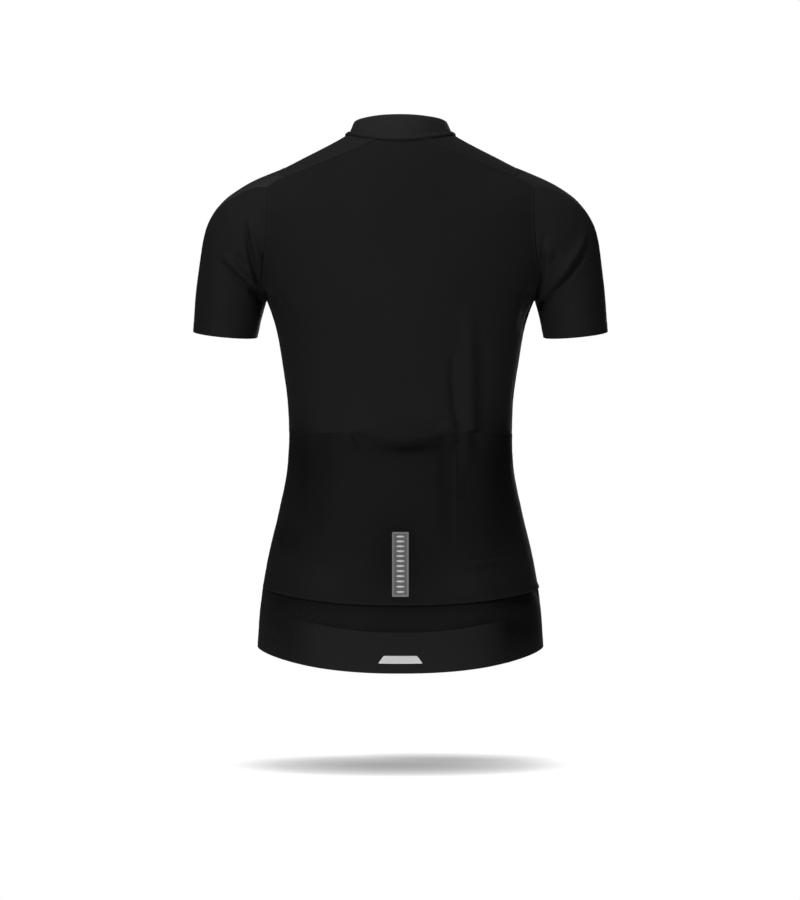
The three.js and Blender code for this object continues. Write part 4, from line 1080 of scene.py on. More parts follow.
# %% [markdown]
# Each front runs from the zip round to the side seam, and goes over the shoulder to the yoke seam on
# the back. Below the end of the shoulder its rows end at the armhole; above it they bend back to the
# rows of the yoke, so the two panels meet point for point. The photograph hides the front, so it is
# finished plainly, with the same kind of folds from the armpit and at the waist. The right yoke lies
# in less light than the left one, so its colour gets painted shade, and each yoke seam gets a thin
# painted highlight line, weaker on the right.

# %% Front panels
ZIP_EDGE = 6
FRONT_HEM = 16
SEAM_EDGE = {"left": "first_column", "right": "last_column"}
ZIP_SIDE = {"left": "last_column", "right": "first_column"}
YOKE_LINE_HIGHLIGHT = {"left": 0.5, "right": 0.3}
YOKE_PAINTED_SHADE = {"left": 0, "right": 0.34}


def front_grid():
    climbs = joined_stretches(
        (HEM, HEM + 3, 0.9), (HEM + 3, ARMPIT, 3.4), (ARMPIT, SHOULDER_END, 2.6),
        (SHOULDER_END, SHOULDER_END + CROSS_SEAM_RISE, 0.35),
        (SHOULDER_END + CROSS_SEAM_RISE, NECK - 3, 2.4), (NECK - 3, NECK, 0.8),
    )[:, None]
    on_shoulder = climbs > SHOULDER_END + 1e-6
    strip_foot = SHOULDER_END + CROSS_SEAM_RISE
    share_up = np.clip((climbs - strip_foot) / (NECK - strip_foot), 0, 1)
    yoke_climbs = YOKE_END + share_up * (NECK - YOKE_END)
    yoke_angles = back_edge_angle(yoke_climbs)
    across_seam = np.clip((climbs - SHOULDER_END) / CROSS_SEAM_RISE, 0, 1)
    over = 90 * DEGREE + (yoke_angles - 90 * DEGREE) * across_seam
    end = np.where(on_shoulder, over, front_edge_angle(climbs))
    angles = end + (front_angle_at(climbs, ZIP_EDGE) - end) * crowded(62)[None, :]
    behind = soft_step(0, 1, (90 * DEGREE - angles) / (90 * DEGREE - yoke_angles))
    own_climbs = np.where(on_shoulder, climbs + (yoke_climbs - climbs) * behind, climbs)
    return own_climbs, angles


front_climbs, front_angles = front_grid()
front_base = torso_point(front_climbs, front_angles)
front_base_normals = torso_normal(front_climbs, front_angles)
front_edges = edge_distances(front_base)


def mirrored(points):
    return (points * np.array([-1, 1, 1]))[:, ::-1]


def make_front(side):
    x, z = front_base[..., 0], front_base[..., 2]
    ahead = soft_step(-10, -60, front_base[..., 1])
    lift = (fold_height(x, z, FRONT_FOLDS) + calm_waves(x, z, 0.5)) * ahead
    lift = lift + sewn_edge(front_edges["first_column"], front_edges["first_row"], welt=0.55)
    lift = lift + sewn_edge(front_edges["last_row"], front_edges["first_column"])
    hem = folded_hem(front_edges["first_row"], front_edges["first_column"], FRONT_HEM)
    lift = lift + hem * soft_step(0, 12, front_edges["first_column"])
    lift = lift + folded_hem(front_edges["last_column"], front_edges["first_row"], 5)
    skin, normals = lifted(front_base, front_base_normals, lift)
    if side == "right":
        skin, normals = mirrored(skin), mirrored(normals)
    shade = painted_seam_highlight(front_edges["first_column"], YOKE_LINE_HIGHLIGHT[side])
    shade = shade + YOKE_PAINTED_SHADE[side] * soft_step(-30, 10, front_base[..., 1])
    if side == "right":
        shade = shade[:, ::-1]
    lay_cloth(f"front_{side}_cloth", skin, normals, "front knit", f"front_{side}",
              free=("first_row", ZIP_SIDE[side]), shade=shade)


for side in ("left", "right"):
    make_front(side)

# %% [markdown]
# A sleeve is a tube whose sections fan out from the armpit. The first section is bent on to the
# armhole seam, point by point, and that change fades out along the sleeve. Its back piece and front
# piece meet under the arm and along a seam that runs from the armhole's top corner to the cuff.
# The raised arm of the pattern gathers cloth at the armpit: long creases run from there outwards.

# %% Armhole line
cross_climbs = np.linspace(SHOULDER_END + CROSS_SEAM_RISE, SHOULDER_END, 12)[1:-1]
cross_yoke_angle = back_edge_angle(YOKE_END)
cross_share = (cross_climbs - SHOULDER_END) / CROSS_SEAM_RISE
cross_angles = 90 * DEGREE + (cross_yoke_angle - 90 * DEGREE) * cross_share
cross_own = cross_climbs + (YOKE_END - cross_climbs) * soft_step(0, 1, cross_share)
armhole_back = joined_stretches(
    (ARMPIT, ARMPIT + 4, 1), (ARMPIT + 4, CORNER - 4, 2.2), (CORNER - 4, CORNER, 1),
)
armhole_top = joined_stretches((CORNER, YOKE_END, 1))[1:]
armhole_front = joined_stretches((SHOULDER_END, ARMPIT + 4, 2.4), (ARMPIT + 4, ARMPIT, 1))
armhole = np.concatenate([
    torso_point(armhole_back, back_edge_angle(armhole_back)),
    torso_point(armhole_top, back_edge_angle(armhole_top)),
    torso_point(cross_own, cross_angles),
    torso_point(armhole_front, front_edge_angle(armhole_front)),
])
CORNER_LINE = len(armhole_back) - 1
print("armhole", round(float(running_length(armhole)[-1])), "mm round,", len(armhole), "lines")

# %% Sleeve surface
SLEEVE_ROWS = table(
    ["outer_x", "outer_z", "inner_x", "inner_z", "back_depth", "front_depth", "drop"],
    [
        [130.5, -35, 150, -181, 66, 78, 0],
        [146.5, -41.6, 150.8, -184, 65, 75, 0],
        [166, -50.4, 151.6, -187, 63.5, 71, 0],
        [181.4, -59.4, 152.4, -190, 62, 67, 0],
        [194, -68.3, 153.2, -193, 60, 63.5, 0],
        [203, -77.3, 154, -196.5, 58, 60, 0.5],
        [209.6, -86, 154.8, -200, 56.5, 57.5, 1],
        [217, -101, 156, -205, 54, 54, 2],
        [221.6, -120, 157, -210, 52, 51.5, 3],
        [225.5, -145, 158, -215, 50, 49.5, 4],
        [229.6, -181, 159, -220, 48.5, 48, 4.5],
        [232, -217, 160, -224, 47, 47, 5],
    ],
)
sleeve_stops, sleeve = curves_of(SLEEVE_ROWS, ("outer_x", "outer_z"))
SLEEVE_LENGTH = sleeve_stops[-1]


def section_point(along, turn):
    """Turn 0 is the outer line of the sleeve, 90 degrees its back, 180 its inner line."""
    along, turn = np.broadcast_arrays(np.asarray(along, float), np.asarray(turn, float))
    value = {name: curve(along) for name, curve in sleeve.items()}
    middle_x, half_x = (value["outer_x"] + value["inner_x"]) / 2, (value["outer_x"] - value["inner_x"]) / 2
    middle_z, half_z = (value["outer_z"] + value["inner_z"]) / 2, (value["outer_z"] - value["inner_z"]) / 2
    sine, cosine = np.sin(turn), np.cos(turn)
    depth = np.where(sine >= 0, value["back_depth"], value["front_depth"])
    z = middle_z + half_z * cosine - value["drop"] * sine
    return np.stack([middle_x + half_x * cosine, depth * sine, z], -1)


outer_point, inner_point = section_point(0, 0), section_point(0, math.pi)
first_middle = (outer_point + inner_point) / 2
first_half = outer_point - first_middle
out_share = (armhole - first_middle) @ first_half / (first_half @ first_half)
first_depth = np.where(armhole[:, 1] > 0, SLEEVE_ROWS[0]["back_depth"], SLEEVE_ROWS[0]["front_depth"])
armhole_turns = np.arctan2(armhole[:, 1] / first_depth, out_share)
armhole_turns[0], armhole_turns[-1] = math.pi, -math.pi
armhole_change = armhole - section_point(0, armhole_turns)
corner_turn = armhole_turns[CORNER_LINE]

SLEEVE_SEAM = table(["along", "degrees"], [
    [0, corner_turn / DEGREE], [25, 37], [50, 33], [75, 29], [100, 26], [125, 23], [165, 20], [235, 18],
])
sleeve_seam_degrees = curve_over(SLEEVE_SEAM, "along", "degrees")


def sleeve_grid():
    """Rows rise from the cuff to the armhole; columns are the lengthwise lines."""
    along = joined_stretches(
        (SLEEVE_LENGTH, SLEEVE_LENGTH - 3, 0.9), (SLEEVE_LENGTH - 3, 4, 2.1), (4, 0, 1),
    )[:, None]
    seam_turn = sleeve_seam_degrees(along) * DEGREE
    start = armhole_turns[None, :]
    on_back = math.pi - (math.pi - start) * ((math.pi - seam_turn) / (math.pi - corner_turn))
    on_front = -math.pi + (start + math.pi) * ((seam_turn + math.pi) / (corner_turn + math.pi))
    behind = np.arange(len(armhole))[None, :] <= CORNER_LINE
    turn = np.where(behind, on_back, on_front)
    fade = (1 - along / SLEEVE_LENGTH) ** 2.2
    return along, section_point(along, turn) + armhole_change[None, :, :] * fade[..., None]


sleeve_along, sleeve_base = sleeve_grid()
sleeve_base_normals = grid_normals(sleeve_base, closed=True)
print("sleeve", round(float(SLEEVE_LENGTH)), "mm along the outer line")

# %% Sleeve pieces
CUFF_HEM = 11
# Both sleeves get a little painted light all over, the front piece a strip of painted light along its seam on
# the back, and the armpit painted shade.
SLEEVE_PAINTED_LIGHT = -0.09
ARMPIT_PAINTED_SHADE = table(PAINTED_SHADE_COLUMNS, [[157, -186, 8, 15, 0.75]])
PAINTED_LIGHT_STRIP = (8, 44)


def make_sleeve(side, folds, painted_light):
    """painted_light is the painted light on the front piece in the strip along its seam on the back; half of
    it is a painted highlight line on that seam.
    """
    from_behind = sleeve_base[..., 1] > 0
    seen_x, seen_z = seen_from_behind(sleeve_base)
    x = np.where(from_behind, seen_x, sleeve_base[..., 0])
    z = np.where(from_behind, seen_z, sleeve_base[..., 2])
    creases = np.where(from_behind, fold_height(x, z, folds), fold_height(x, z, FRONT_SLEEVE_FOLDS))
    clear_of_ends = soft_step(0, 6, sleeve_along) * soft_step(0, 16, SLEEVE_LENGTH - sleeve_along)
    inner_side = soft_step(0.0, 14.0, np.abs(sleeve_base[..., 1]))
    lift = creases * clear_of_ends * inner_side + calm_waves(x, z, 0.35) * clear_of_ends
    for piece, columns in (("back", slice(0, CORNER_LINE + 1)), ("front", slice(CORNER_LINE, None))):
        base = sleeve_base[:, columns]
        edges = edge_distances(base)
        own_lift = lift[:, columns] + folded_hem(edges["first_row"], edges["first_column"], CUFF_HEM, 0.15)
        own_lift = own_lift + sewn_edge(edges["last_row"], edges["first_column"], groove=0.2)
        own_lift = sewn_sides(own_lift, edges)
        skin, normals = lifted(base, sleeve_base_normals[:, columns], own_lift)
        shade = painted_shade_patches(x[:, columns], z[:, columns], ARMPIT_PAINTED_SHADE) + SLEEVE_PAINTED_LIGHT
        if piece == "front":
            from_seam = edges["first_column"]
            shade = shade - painted_light * (1 - soft_step(*PAINTED_LIGHT_STRIP, from_seam))
            shade = shade + painted_seam_highlight(from_seam, 0.5 * painted_light)
        if side == "right":
            skin, normals, shade = mirrored(skin), mirrored(normals), shade[:, ::-1]
        fabric, slot = ("back knit", "body") if piece == "back" else ("front knit", "shoulder")
        lay_cloth(f"sleeve_{side}_{piece}_cloth", skin, normals, fabric, f"sleeve_{side}_{piece}",
                  free=("first_row",), shade=shade)


make_sleeve("left", LEFT_SLEEVE_FOLDS, 0.8)
make_sleeve("right", RIGHT_SLEEVE_FOLDS, 0.15)

# %% [markdown]
# The collar is a double band of close rib that stands up and leans in towards the neck. Its top is a
# fold, so it is thick and round. A narrow tape covers the seam at its foot and stands proud of both,
# which makes the dark line and the light band that go round the neck.

# %% Collar surface
COLLAR_THICKNESS = 1.6
COLLAR_ROWS = table(
    ["half_width", "side_z", "back_depth", "back_z", "front_depth", "front_z"],
    [
        [58.2, 3.4, 57.3, -5.6, 53, -56.6],
        [55.4, 9.5, 55.8, 5, 52.4, -45],
        [52, 16.5, 53.2, 16.5, 51, -29],
        [49.8, 18.8, 51.6, 20.6, 50, -21],
    ],
)
collar_stops = running_length([[0, row["back_z"]] for row in COLLAR_ROWS])
collar = {name: smooth_curve(collar_stops, [row[name] for row in COLLAR_ROWS]) for name in COLLAR_ROWS[0]}
COLLAR_HEIGHT = collar_stops[-1]


def collar_point(up, angle):
    up, angle = np.broadcast_arrays(np.asarray(up, float), np.asarray(angle, float))
    sine, cosine = np.sin(angle), np.cos(angle)
    behind = cosine >= 0
    depth = np.where(behind, collar["back_depth"](up), collar["front_depth"](up))
    middle_z = np.where(behind, collar["back_z"](up), collar["front_z"](up))
    side_z = collar["side_z"](up)
    z = side_z + (middle_z - side_z) * cosine**2
    return np.stack([collar["half_width"](up) * sine, depth * cosine, z], -1)


def collar_angles(edge_x, count):
    end = math.pi - math.asin(edge_x / COLLAR_ROWS[0]["half_width"])
    return (end * (2 * crowded(count, NARROW_ENDS) - 1))[None, :]


collar_ups = joined_stretches((0, COLLAR_HEIGHT - 3, 1.4), (COLLAR_HEIGHT - 3, COLLAR_HEIGHT, 0.5))[:, None]
collar_turns = collar_angles(ZIP_EDGE, 150)
collar_base = collar_point(collar_ups, collar_turns)
collar_edges = edge_distances(collar_base)
collar_lift = sewn_edge(collar_edges["first_row"], collar_edges["first_column"], groove=0.3, pucker=0.12)
collar_lift = collar_lift + calm_waves(collar_edges["first_column"], collar_edges["first_row"], 0.25, 30, 80)
collar_lift = collar_lift - 0.7 * bump_at(collar_edges["last_row"], 0, 1.4)
collar_skin, collar_normals = lifted(collar_base, grid_normals(collar_base), collar_lift)
lay_cloth("collar_cloth", collar_skin, collar_normals, "collar rib", "collar",
          free=("last_row", "first_column", "last_column"), thickness=COLLAR_THICKNESS)

# %% Neck tape
NECK_TAPE_BELOW, NECK_TAPE_ABOVE = 3.6, 2.6
EDGE_STANDS, ROLL_STANDS = 0.7, 1.3
neck_turns = collar_angles(ZIP_EDGE + 1, 150)
neck_foot = torso_point(NECK - NECK_TAPE_BELOW, neck_turns)
neck_top = collar_point(NECK_TAPE_ABOVE, neck_turns)
neck_shares = np.linspace(0, 1, 9)[:, None]
neck_base = neck_foot * (1 - neck_shares[..., None]) + neck_top * neck_shares[..., None]
neck_lift = EDGE_STANDS + ROLL_STANDS * np.sin(math.pi * neck_shares) ** 0.8
neck_skin, neck_normals = lifted(neck_base, grid_normals(neck_base), neck_lift)
lay_cloth("neck_tape", neck_skin, neck_normals, "neck tape", "neck_band",
          free=ALL_EDGES, thickness=1.0, turned=2.6)

# %% [markdown]
# Along the dropped hem lies a wide smooth elastic band that keeps the jersey down. It is laid on the
# mesh, so its upper edge is a soft ridge that catches the light, and it follows the hem's curve. Its
# ends sink away into the mesh and get painted shade, and the mesh's patches of painted shade go on
# over it. In the middle of the hem is a small reflective tab, wider at its foot.

# %% Hem band and reflective tab
BAND_HALF_WIDTH = 124
BAND_RISE_MIDDLE, BAND_RISE_END = 43, 50
BAND_STANDS, BAND_RIDGE = 1.15, 0.45
BAND_FADE, END_SINK, END_PAINTED_SHADE = 36, 0.72, 0.3
TAB_STANDS = BAND_STANDS + 0.55
MESH_SEEN_HEIGHT = 73


def laid_strip(climbs, xs, lift):
    """A strip laid on the lower back: rows at the climbs, columns seen this far across."""
    climbs, xs, lift = np.broadcast_arrays(climbs, xs, lift)
    angles = angle_seen_at(climbs, xs)
    base = torso_point(climbs, angles)
    return lifted(base, torso_normal(climbs, angles), lift)


band_xs = (BAND_HALF_WIDTH * (2 * crowded(110, NARROW_ENDS) - 1))[None, :]
band_outward = np.abs(band_xs) / BAND_HALF_WIDTH
band_rise = BAND_RISE_MIDDLE + (BAND_RISE_END - BAND_RISE_MIDDLE) * band_outward**2
band_rise = band_rise * (POCKET_FOOT / MESH_SEEN_HEIGHT)
band_share = np.concatenate([[0, 0.015, 0.035], np.linspace(0.07, 0.94, 24), [0.962, 0.98, 1]])[:, None]
band_climbs = HEM + band_share * band_rise
BAND_FOLDS = table(FOLD_COLUMNS, [
    [[(-96, -548), (-106, -566), (-108, -584)], 12, -1.0, "both"],
    [[(96, -552), (108, -570)], 13, 0.8, "both"],
])
band_angles = angle_seen_at(band_climbs, band_xs)
band_seen_x, band_seen_z = seen_from_behind(torso_point(band_climbs, band_angles))
band_stand = BAND_STANDS + fold_height(band_seen_x, band_seen_z, BAND_FOLDS)
band_stand = band_stand + calm_waves(band_seen_x, band_seen_z, 0.22, 40, 110)
band_stand = band_stand + BAND_RIDGE * bump_at(band_share, 0.965, 0.03)
band_end = 1 - soft_step(0, BAND_FADE, BAND_HALF_WIDTH - np.abs(band_xs))
band_stand = band_stand * (1 - END_SINK * band_end)
band_skin, band_normals = laid_strip(band_climbs, band_xs, band_stand)
lay_cloth("hem_band", band_skin, band_normals, "hem band", "hem_gripper",
          free=("first_row", "last_row"), thickness=1.0,
          shade=END_PAINTED_SHADE * band_end + painted_shade_patches(band_seen_x, band_seen_z, MESH_PAINTED_SHADE))

TAB_FOOT, TAB_TOP = 9.5, 16.5
TAB_FOOT_HALF, TAB_TOP_HALF = 24.5, 18.5
tab_up = np.linspace(0, 1, 9)[:, None]
tab_half = TAB_FOOT_HALF + (TAB_TOP_HALF - TAB_FOOT_HALF) * tab_up
tab_xs = tab_half * np.linspace(-1, 1, 41)[None, :]
tab_climbs = HEM + TAB_FOOT + (TAB_TOP - TAB_FOOT) * tab_up
tab_skin, tab_normals = laid_strip(tab_climbs, tab_xs, TAB_STANDS)
tab = cloth_object("reflective_tab_film", tab_skin, tab_normals, 0.7, ALL_EDGES)
tab.data.materials.append(plain["reflective film"])
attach(tab, "jersey")
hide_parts("reflective_tab")
print("reflective tab", len(tab.data.polygons), "faces")

# %% [markdown]
# On the middle pocket is a narrow patch of grey cloth with a paler woven rim, and a plain ladder of
# equal reflective bars runs up it to show in a headlight. The bars repeat, so a node tree sets one
# rounded bar on every point of a short line.

# %% Node trees for what repeats
def tree_input(tree, name, kind, default=None):
    socket = tree.interface.new_socket(name, in_out="INPUT", socket_type=kind)
    if default is not None:
        socket.default_value = default
    return socket


def new_tree(name, sizes):
    """A geometry tree with a geometry input, a number input for each size, and a material."""
    tree = bpy.data.node_groups.new(name, "GeometryNodeTree")
    tree.interface.new_socket("Geometry", in_out="OUTPUT", socket_type="NodeSocketGeometry")
    tree_input(tree, "Geometry", "NodeSocketGeometry")
    for size, default in sizes.items():
        tree_input(tree, size, "NodeSocketFloat", default)
    tree_input(tree, "Material", "NodeSocketMaterial")
    return tree, tree.nodes.new("NodeGroupInput"), tree.nodes.new("NodeGroupOutput")


def add_node(tree, kind, settings=None, **inputs):
    """A node with its settings, and its inputs linked or set by name, with _ for a space."""
    node = tree.nodes.new(kind)
    for name, value in (settings or {}).items():
        setattr(node, name, value)
    for name, value in inputs.items():
        socket = node.inputs[name.replace("_", " ")]
        if isinstance(value, bpy.types.NodeSocket):
            tree.links.new(value, socket)
        else:
            socket.default_value = value
    return node


def finish_tree(tree, given, output, instances, smooth=True):
    """The usual end: real, smooth or flat, with the material."""
    result = add_node(tree, "GeometryNodeRealizeInstances", Geometry=instances).outputs[0]
    if smooth:
        result = add_node(tree, "GeometryNodeSetShadeSmooth", Geometry=result).outputs[0]
    finish = add_node(tree, "GeometryNodeSetMaterial", Geometry=result, Material=given.outputs["Material"])
    tree.links.new(finish.outputs[0], output.inputs["Geometry"])


def grow(name, source, tree, **settings):
    """Runs a tree over a source mesh and keeps the result as a plain mesh."""
    holder = new_object(name + "_source", source)
    modifier = holder.modifiers.new("grow", "NODES")
    modifier.node_group = tree
    for socket in tree.interface.items_tree:
        key = socket.name.replace(" ", "_").lower()
        if socket.item_type == "SOCKET" and socket.in_out == "INPUT" and key in settings:
            modifier[socket.identifier] = settings[key]
    graph = bpy.context.evaluated_depsgraph_get()
    mesh = bpy.data.meshes.new_from_object(holder.evaluated_get(graph))
    holder.modifiers.remove(modifier)
    bpy.data.objects.remove(holder)
    mesh.name = name
    return new_object(name, mesh)


def lines_mesh(name, lines):
    """A mesh of open lines, given in millimetres."""
    points, edges = [], []
    for line in lines:
        start = len(points)
        points += (np.asarray(line) * MM).tolist()
        edges += [(start + i, start + i + 1) for i in range(len(line) - 1)]
    mesh = bpy.data.meshes.new(name)
    mesh.from_pydata(points, edges, [])
    return mesh


def frames_mesh(name, places, out, along):
    """A mesh of loose points in millimetres that keeps each one's outward and lengthwise direction."""
    mesh = bpy.data.meshes.new(name)
    mesh.from_pydata((places * MM).tolist(), [], [])
    for note, vectors in (("out", out), ("along", along)):
        kept = mesh.attributes.new(note, "FLOAT_VECTOR", "POINT").data
        kept.foreach_set("vector", vectors.astype(np.float32).ravel())
    return mesh


def framed_rotation(tree):
    """Turns an instance so that its Z points out of the cloth and its Y along the line."""
    out = add_node(tree, "GeometryNodeInputNamedAttribute", {"data_type": "FLOAT_VECTOR"}, Name="out")
    along = add_node(tree, "GeometryNodeInputNamedAttribute", {"data_type": "FLOAT_VECTOR"}, Name="along")
    align = "FunctionNodeAlignRotationToVector"
    first = add_node(tree, align, {"axis": "Z"}, Vector=out.outputs["Attribute"])
    return add_node(tree, align, {"axis": "Y", "pivot_axis": "Z"}, Rotation=first.outputs[0],
                    Vector=along.outputs["Attribute"]).outputs[0]


def scaled_by(tree, given, names):
    """A scale along X, Y and Z from three of the tree's sizes."""
    sizes = {axis: given.outputs[name] for axis, name in zip("XYZ", names)}
    return add_node(tree, "ShaderNodeCombineXYZ", **sizes).outputs[0]


def set_on_frames(tree, given, output, shape, smooth=True):
    """Ends a tree that sets a small shape on every framed point, scaled to the sizes."""
    copies = add_node(tree, "GeometryNodeInstanceOnPoints", Points=given.outputs["Geometry"],
                      Instance=shape, Rotation=framed_rotation(tree),
                      Scale=scaled_by(tree, given, ("Width", "Length", "Height")))
    finish_tree(tree, given, output, copies.outputs[0], smooth)


# %% Tree: rounded bars
bar_tree, given, output = new_tree("rounded bars", {"Width": 0.01, "Length": 0.002, "Height": 0.0006})
plate = add_node(bar_tree, "GeometryNodeMeshCylinder", Vertices=20, Radius=1.0, Depth=1.0)
set_on_frames(bar_tree, given, output, plate.outputs["Mesh"])

# %% Tree: stitches along lines
# A stitch is a short fat thread, an ellipsoid of two dozen faces, set on every step of a line.
stitch_tree, given, output = new_tree("stitch rows", {"Pitch": 0.0026, "Length": 0.0022, "Thickness": 0.0004})
line = add_node(stitch_tree, "GeometryNodeMeshToCurve", Mesh=given.outputs["Geometry"])
even = add_node(stitch_tree, "GeometryNodeResampleCurve", {"mode": "LENGTH"}, Curve=line.outputs[0],
                Length=given.outputs["Pitch"])
thread = add_node(stitch_tree, "GeometryNodeMeshUVSphere", Segments=6, Rings=4, Radius=0.5)
heading = stitch_tree.nodes.new("GeometryNodeInputTangent")
turned = add_node(stitch_tree, "FunctionNodeAlignRotationToVector", {"axis": "Z"}, Vector=heading.outputs[0])
stitches = add_node(stitch_tree, "GeometryNodeInstanceOnPoints", Points=even.outputs[0],
                    Instance=thread.outputs["Mesh"], Rotation=turned.outputs[0],
                    Scale=scaled_by(stitch_tree, given, ("Thickness", "Thickness", "Length")))
finish_tree(stitch_tree, given, output, stitches.outputs[0])
print("node trees:", ", ".join(group.name for group in bpy.data.node_groups))

# %% Label patch
LABEL_WIDTH = 18
LABEL_FOOT, LABEL_HEIGHT = POCKET_FOOT + 8.5, 61.3
LABEL_STANDS, BARS_STAND, RIM_STANDS = 1.1, 1.3, 1.5
RIM_WIDTH = 1.6


def on_pocket(climbs, xs, stands):
    """Places on the pocket panel's own finished skin, seen this far across, that stand off it."""
    climbs, xs = np.broadcast_arrays(np.asarray(climbs, float), np.asarray(xs, float))
    rows = np.interp(climbs.ravel(), pocket_climbs[:, 0], np.arange(len(pocket_climbs)))
    seen_x = seen_from_behind(pocket_skin)[0]
    found = []
    for row, x in zip(rows, xs.ravel()):
        low = int(min(math.floor(row), len(pocket_climbs) - 2))
        share = row - low
        columns = [np.interp(x, seen_x[r], np.arange(seen_x.shape[1])) for r in (low, low + 1)]
        ends = []
        for r, column in zip((low, low + 1), columns):
            c = int(min(math.floor(column), seen_x.shape[1] - 2))
            s = column - c
            ends.append([grid[r, c] * (1 - s) + grid[r, c + 1] * s for grid in (pocket_skin, pocket_normals)])
        point, normal = (ends[0][i] * (1 - share) + ends[1][i] * share for i in (0, 1))
        found.append(np.concatenate([point + normal * stands, normal]))
    found = np.array(found).reshape(climbs.shape + (6,))
    return found[..., :3], unit(found[..., 3:])


patch_up = np.linspace(0, 1, 44)[:, None]
patch_xs = np.linspace(-LABEL_WIDTH / 2, LABEL_WIDTH / 2, 19)[None, :]
patch_skin, patch_normals = on_pocket(LABEL_FOOT + LABEL_HEIGHT * patch_up, patch_xs, LABEL_STANDS)
lay_cloth("label_cloth", patch_skin, patch_normals, "label cloth", "label_patch",
          free=ALL_EDGES, thickness=0.9)


def rim_strip(name, up_range, rows, x_range, columns):
    ups = LABEL_FOOT + LABEL_HEIGHT * np.linspace(*up_range, rows)[:, None]
    xs = np.linspace(*x_range, columns)[None, :]
    skin, normals = on_pocket(ups, xs, RIM_STANDS)
    strip = cloth_object(name, skin, normals, 0.8, ALL_EDGES)
    strip.data.materials.append(fabrics["label rim"])
    return strip


half, rim_share = LABEL_WIDTH / 2, RIM_WIDTH / LABEL_HEIGHT
inside = half - RIM_WIDTH
rim_parts = [
    rim_strip("label_rim", (0, 1), 34, (-half, -inside), 4),
    rim_strip("label_rim_left", (0, 1), 34, (inside, half), 4),
    rim_strip("label_rim_foot", (0, rim_share), 4, (-inside, inside), 14),
    rim_strip("label_rim_top", (1 - rim_share, 1), 4, (-inside, inside), 14),
]
with bpy.context.temp_override(active_object=rim_parts[0], selected_editable_objects=rim_parts):
    bpy.ops.object.join()
label_rim = rim_parts[0]
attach(label_rim, "jersey")

BAR_COUNT = 12
bar_ups = LABEL_FOOT + LABEL_HEIGHT * (np.arange(BAR_COUNT) + 0.9) / (BAR_COUNT + 0.8)
bar_places, bar_out = on_pocket(bar_ups, np.zeros(BAR_COUNT), BARS_STAND)
bar_mesh = frames_mesh("bar places", bar_places, bar_out, np.gradient(bar_places, axis=0))
bar_object = grow("label_bars", bar_mesh, bar_tree, width=0.0046, length=0.0011, height=0.0005,
                  material=plain["reflective film"])
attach(bar_object, "jersey")
print("label: bars", BAR_COUNT, "faces", len(bar_object.data.polygons))

# %% [markdown]
# The zip runs up the middle of the front from the hem to the top of the collar. Its two tapes are
# sewn behind the edges of the fronts, and moulded teeth sit in turn on each tape's inner edge. The
# teeth repeat more than four hundred times, so each has only some twenty faces.

# %% Zip tapes
TAPE_INNER, TAPE_OUTER = 1.4, 14
CHAIN_LEVEL = -2
TAPE_LEVEL = -COLLAR_THICKNESS - 0.2
COLLAR_FRONT_HALF = 56
zip_climbs = joined_stretches((HEM + 1, NECK, 4))[:, None]
zip_ups = np.linspace(0, COLLAR_HEIGHT - 1, 9)[1:][:, None]


def zip_grid(xs):
    """Rows from the hem to the collar's top, at these places across, with their normals."""
    side = np.where(xs == 0, 1, np.sign(xs))
    on_body = front_angle_at(zip_climbs, np.abs(xs)) * side
    on_collar = (math.pi - np.arcsin(np.abs(xs) / COLLAR_FRONT_HALF)) * side
    base = np.concatenate([torso_point(zip_climbs, on_body), collar_point(zip_ups, on_collar)])
    middle = np.concatenate([torso_point(zip_climbs, math.pi), collar_point(zip_ups, math.pi)])
    rise = unit(np.gradient(middle[:, 0], axis=0))
    out = np.stack([rise[:, 0] * 0, -rise[:, 2], rise[:, 1]], -1)
    return base, np.broadcast_to(unit(out)[:, None, :], base.shape), rise


for side, sign in (("left", 1), ("right", -1)):
    tape_xs = np.sort(sign * np.linspace(TAPE_INNER, TAPE_OUTER, 9))[None, ::-1]
    tape_base, tape_normals, _ = zip_grid(tape_xs)
    tape_skin = tape_base + tape_normals * TAPE_LEVEL
    lay_cloth(f"zip_tape_{side}_cloth", tape_skin, tape_normals, "zip tape", f"zip_tape_{side}",
              free=("first_column", "last_column"), thickness=0.8)

# %% Tree: moulded teeth
tooth_tree, given, output = new_tree("moulded teeth", {"Width": 0.003, "Length": 0.0013, "Height": 0.0022})
body = add_node(tooth_tree, "GeometryNodeMeshCube", Vertices_X=3, Vertices_Y=2, Vertices_Z=2)
body.inputs["Size"].default_value = (1, 1, 1)
head = add_node(tooth_tree, "GeometryNodeMeshCylinder", Vertices=8, Radius=0.62, Depth=0.94)
head_place = add_node(tooth_tree, "GeometryNodeTransform", Geometry=head.outputs["Mesh"])
head_place.inputs["Translation"].default_value = (0.42, 0, 0)
head_place.inputs["Scale"].default_value = (0.5, 1, 1)
tooth = tooth_tree.nodes.new("GeometryNodeJoinGeometry")
tooth_tree.links.new(body.outputs["Mesh"], tooth.inputs[0])
tooth_tree.links.new(head_place.outputs[0], tooth.inputs[0])
set_on_frames(tooth_tree, given, output, tooth.outputs[0], smooth=False)

# %% Zip teeth
TOOTH_PITCH = 2.5
FIRST_TOOTH, CLEAR_AT_TOP = 8.7, 6.5
TOOTH_OFF_MIDDLE = 1.1
chain_base, chain_normals, chain_rise = zip_grid(np.zeros((1, 1)))
chain_line = (chain_base + chain_normals * CHAIN_LEVEL)[:, 0]
chain_out = chain_normals[:, 0]
chain_length = running_length(chain_line)


def along_chain(distances):
    """Places, outward directions and lengthwise directions at distances up the zip."""
    places, out, rise = (
        np.stack([np.interp(distances, chain_length, values[:, i]) for i in range(3)], -1)
        for values in (chain_line, chain_out, chain_rise)
    )
    return places, unit(out), unit(rise)


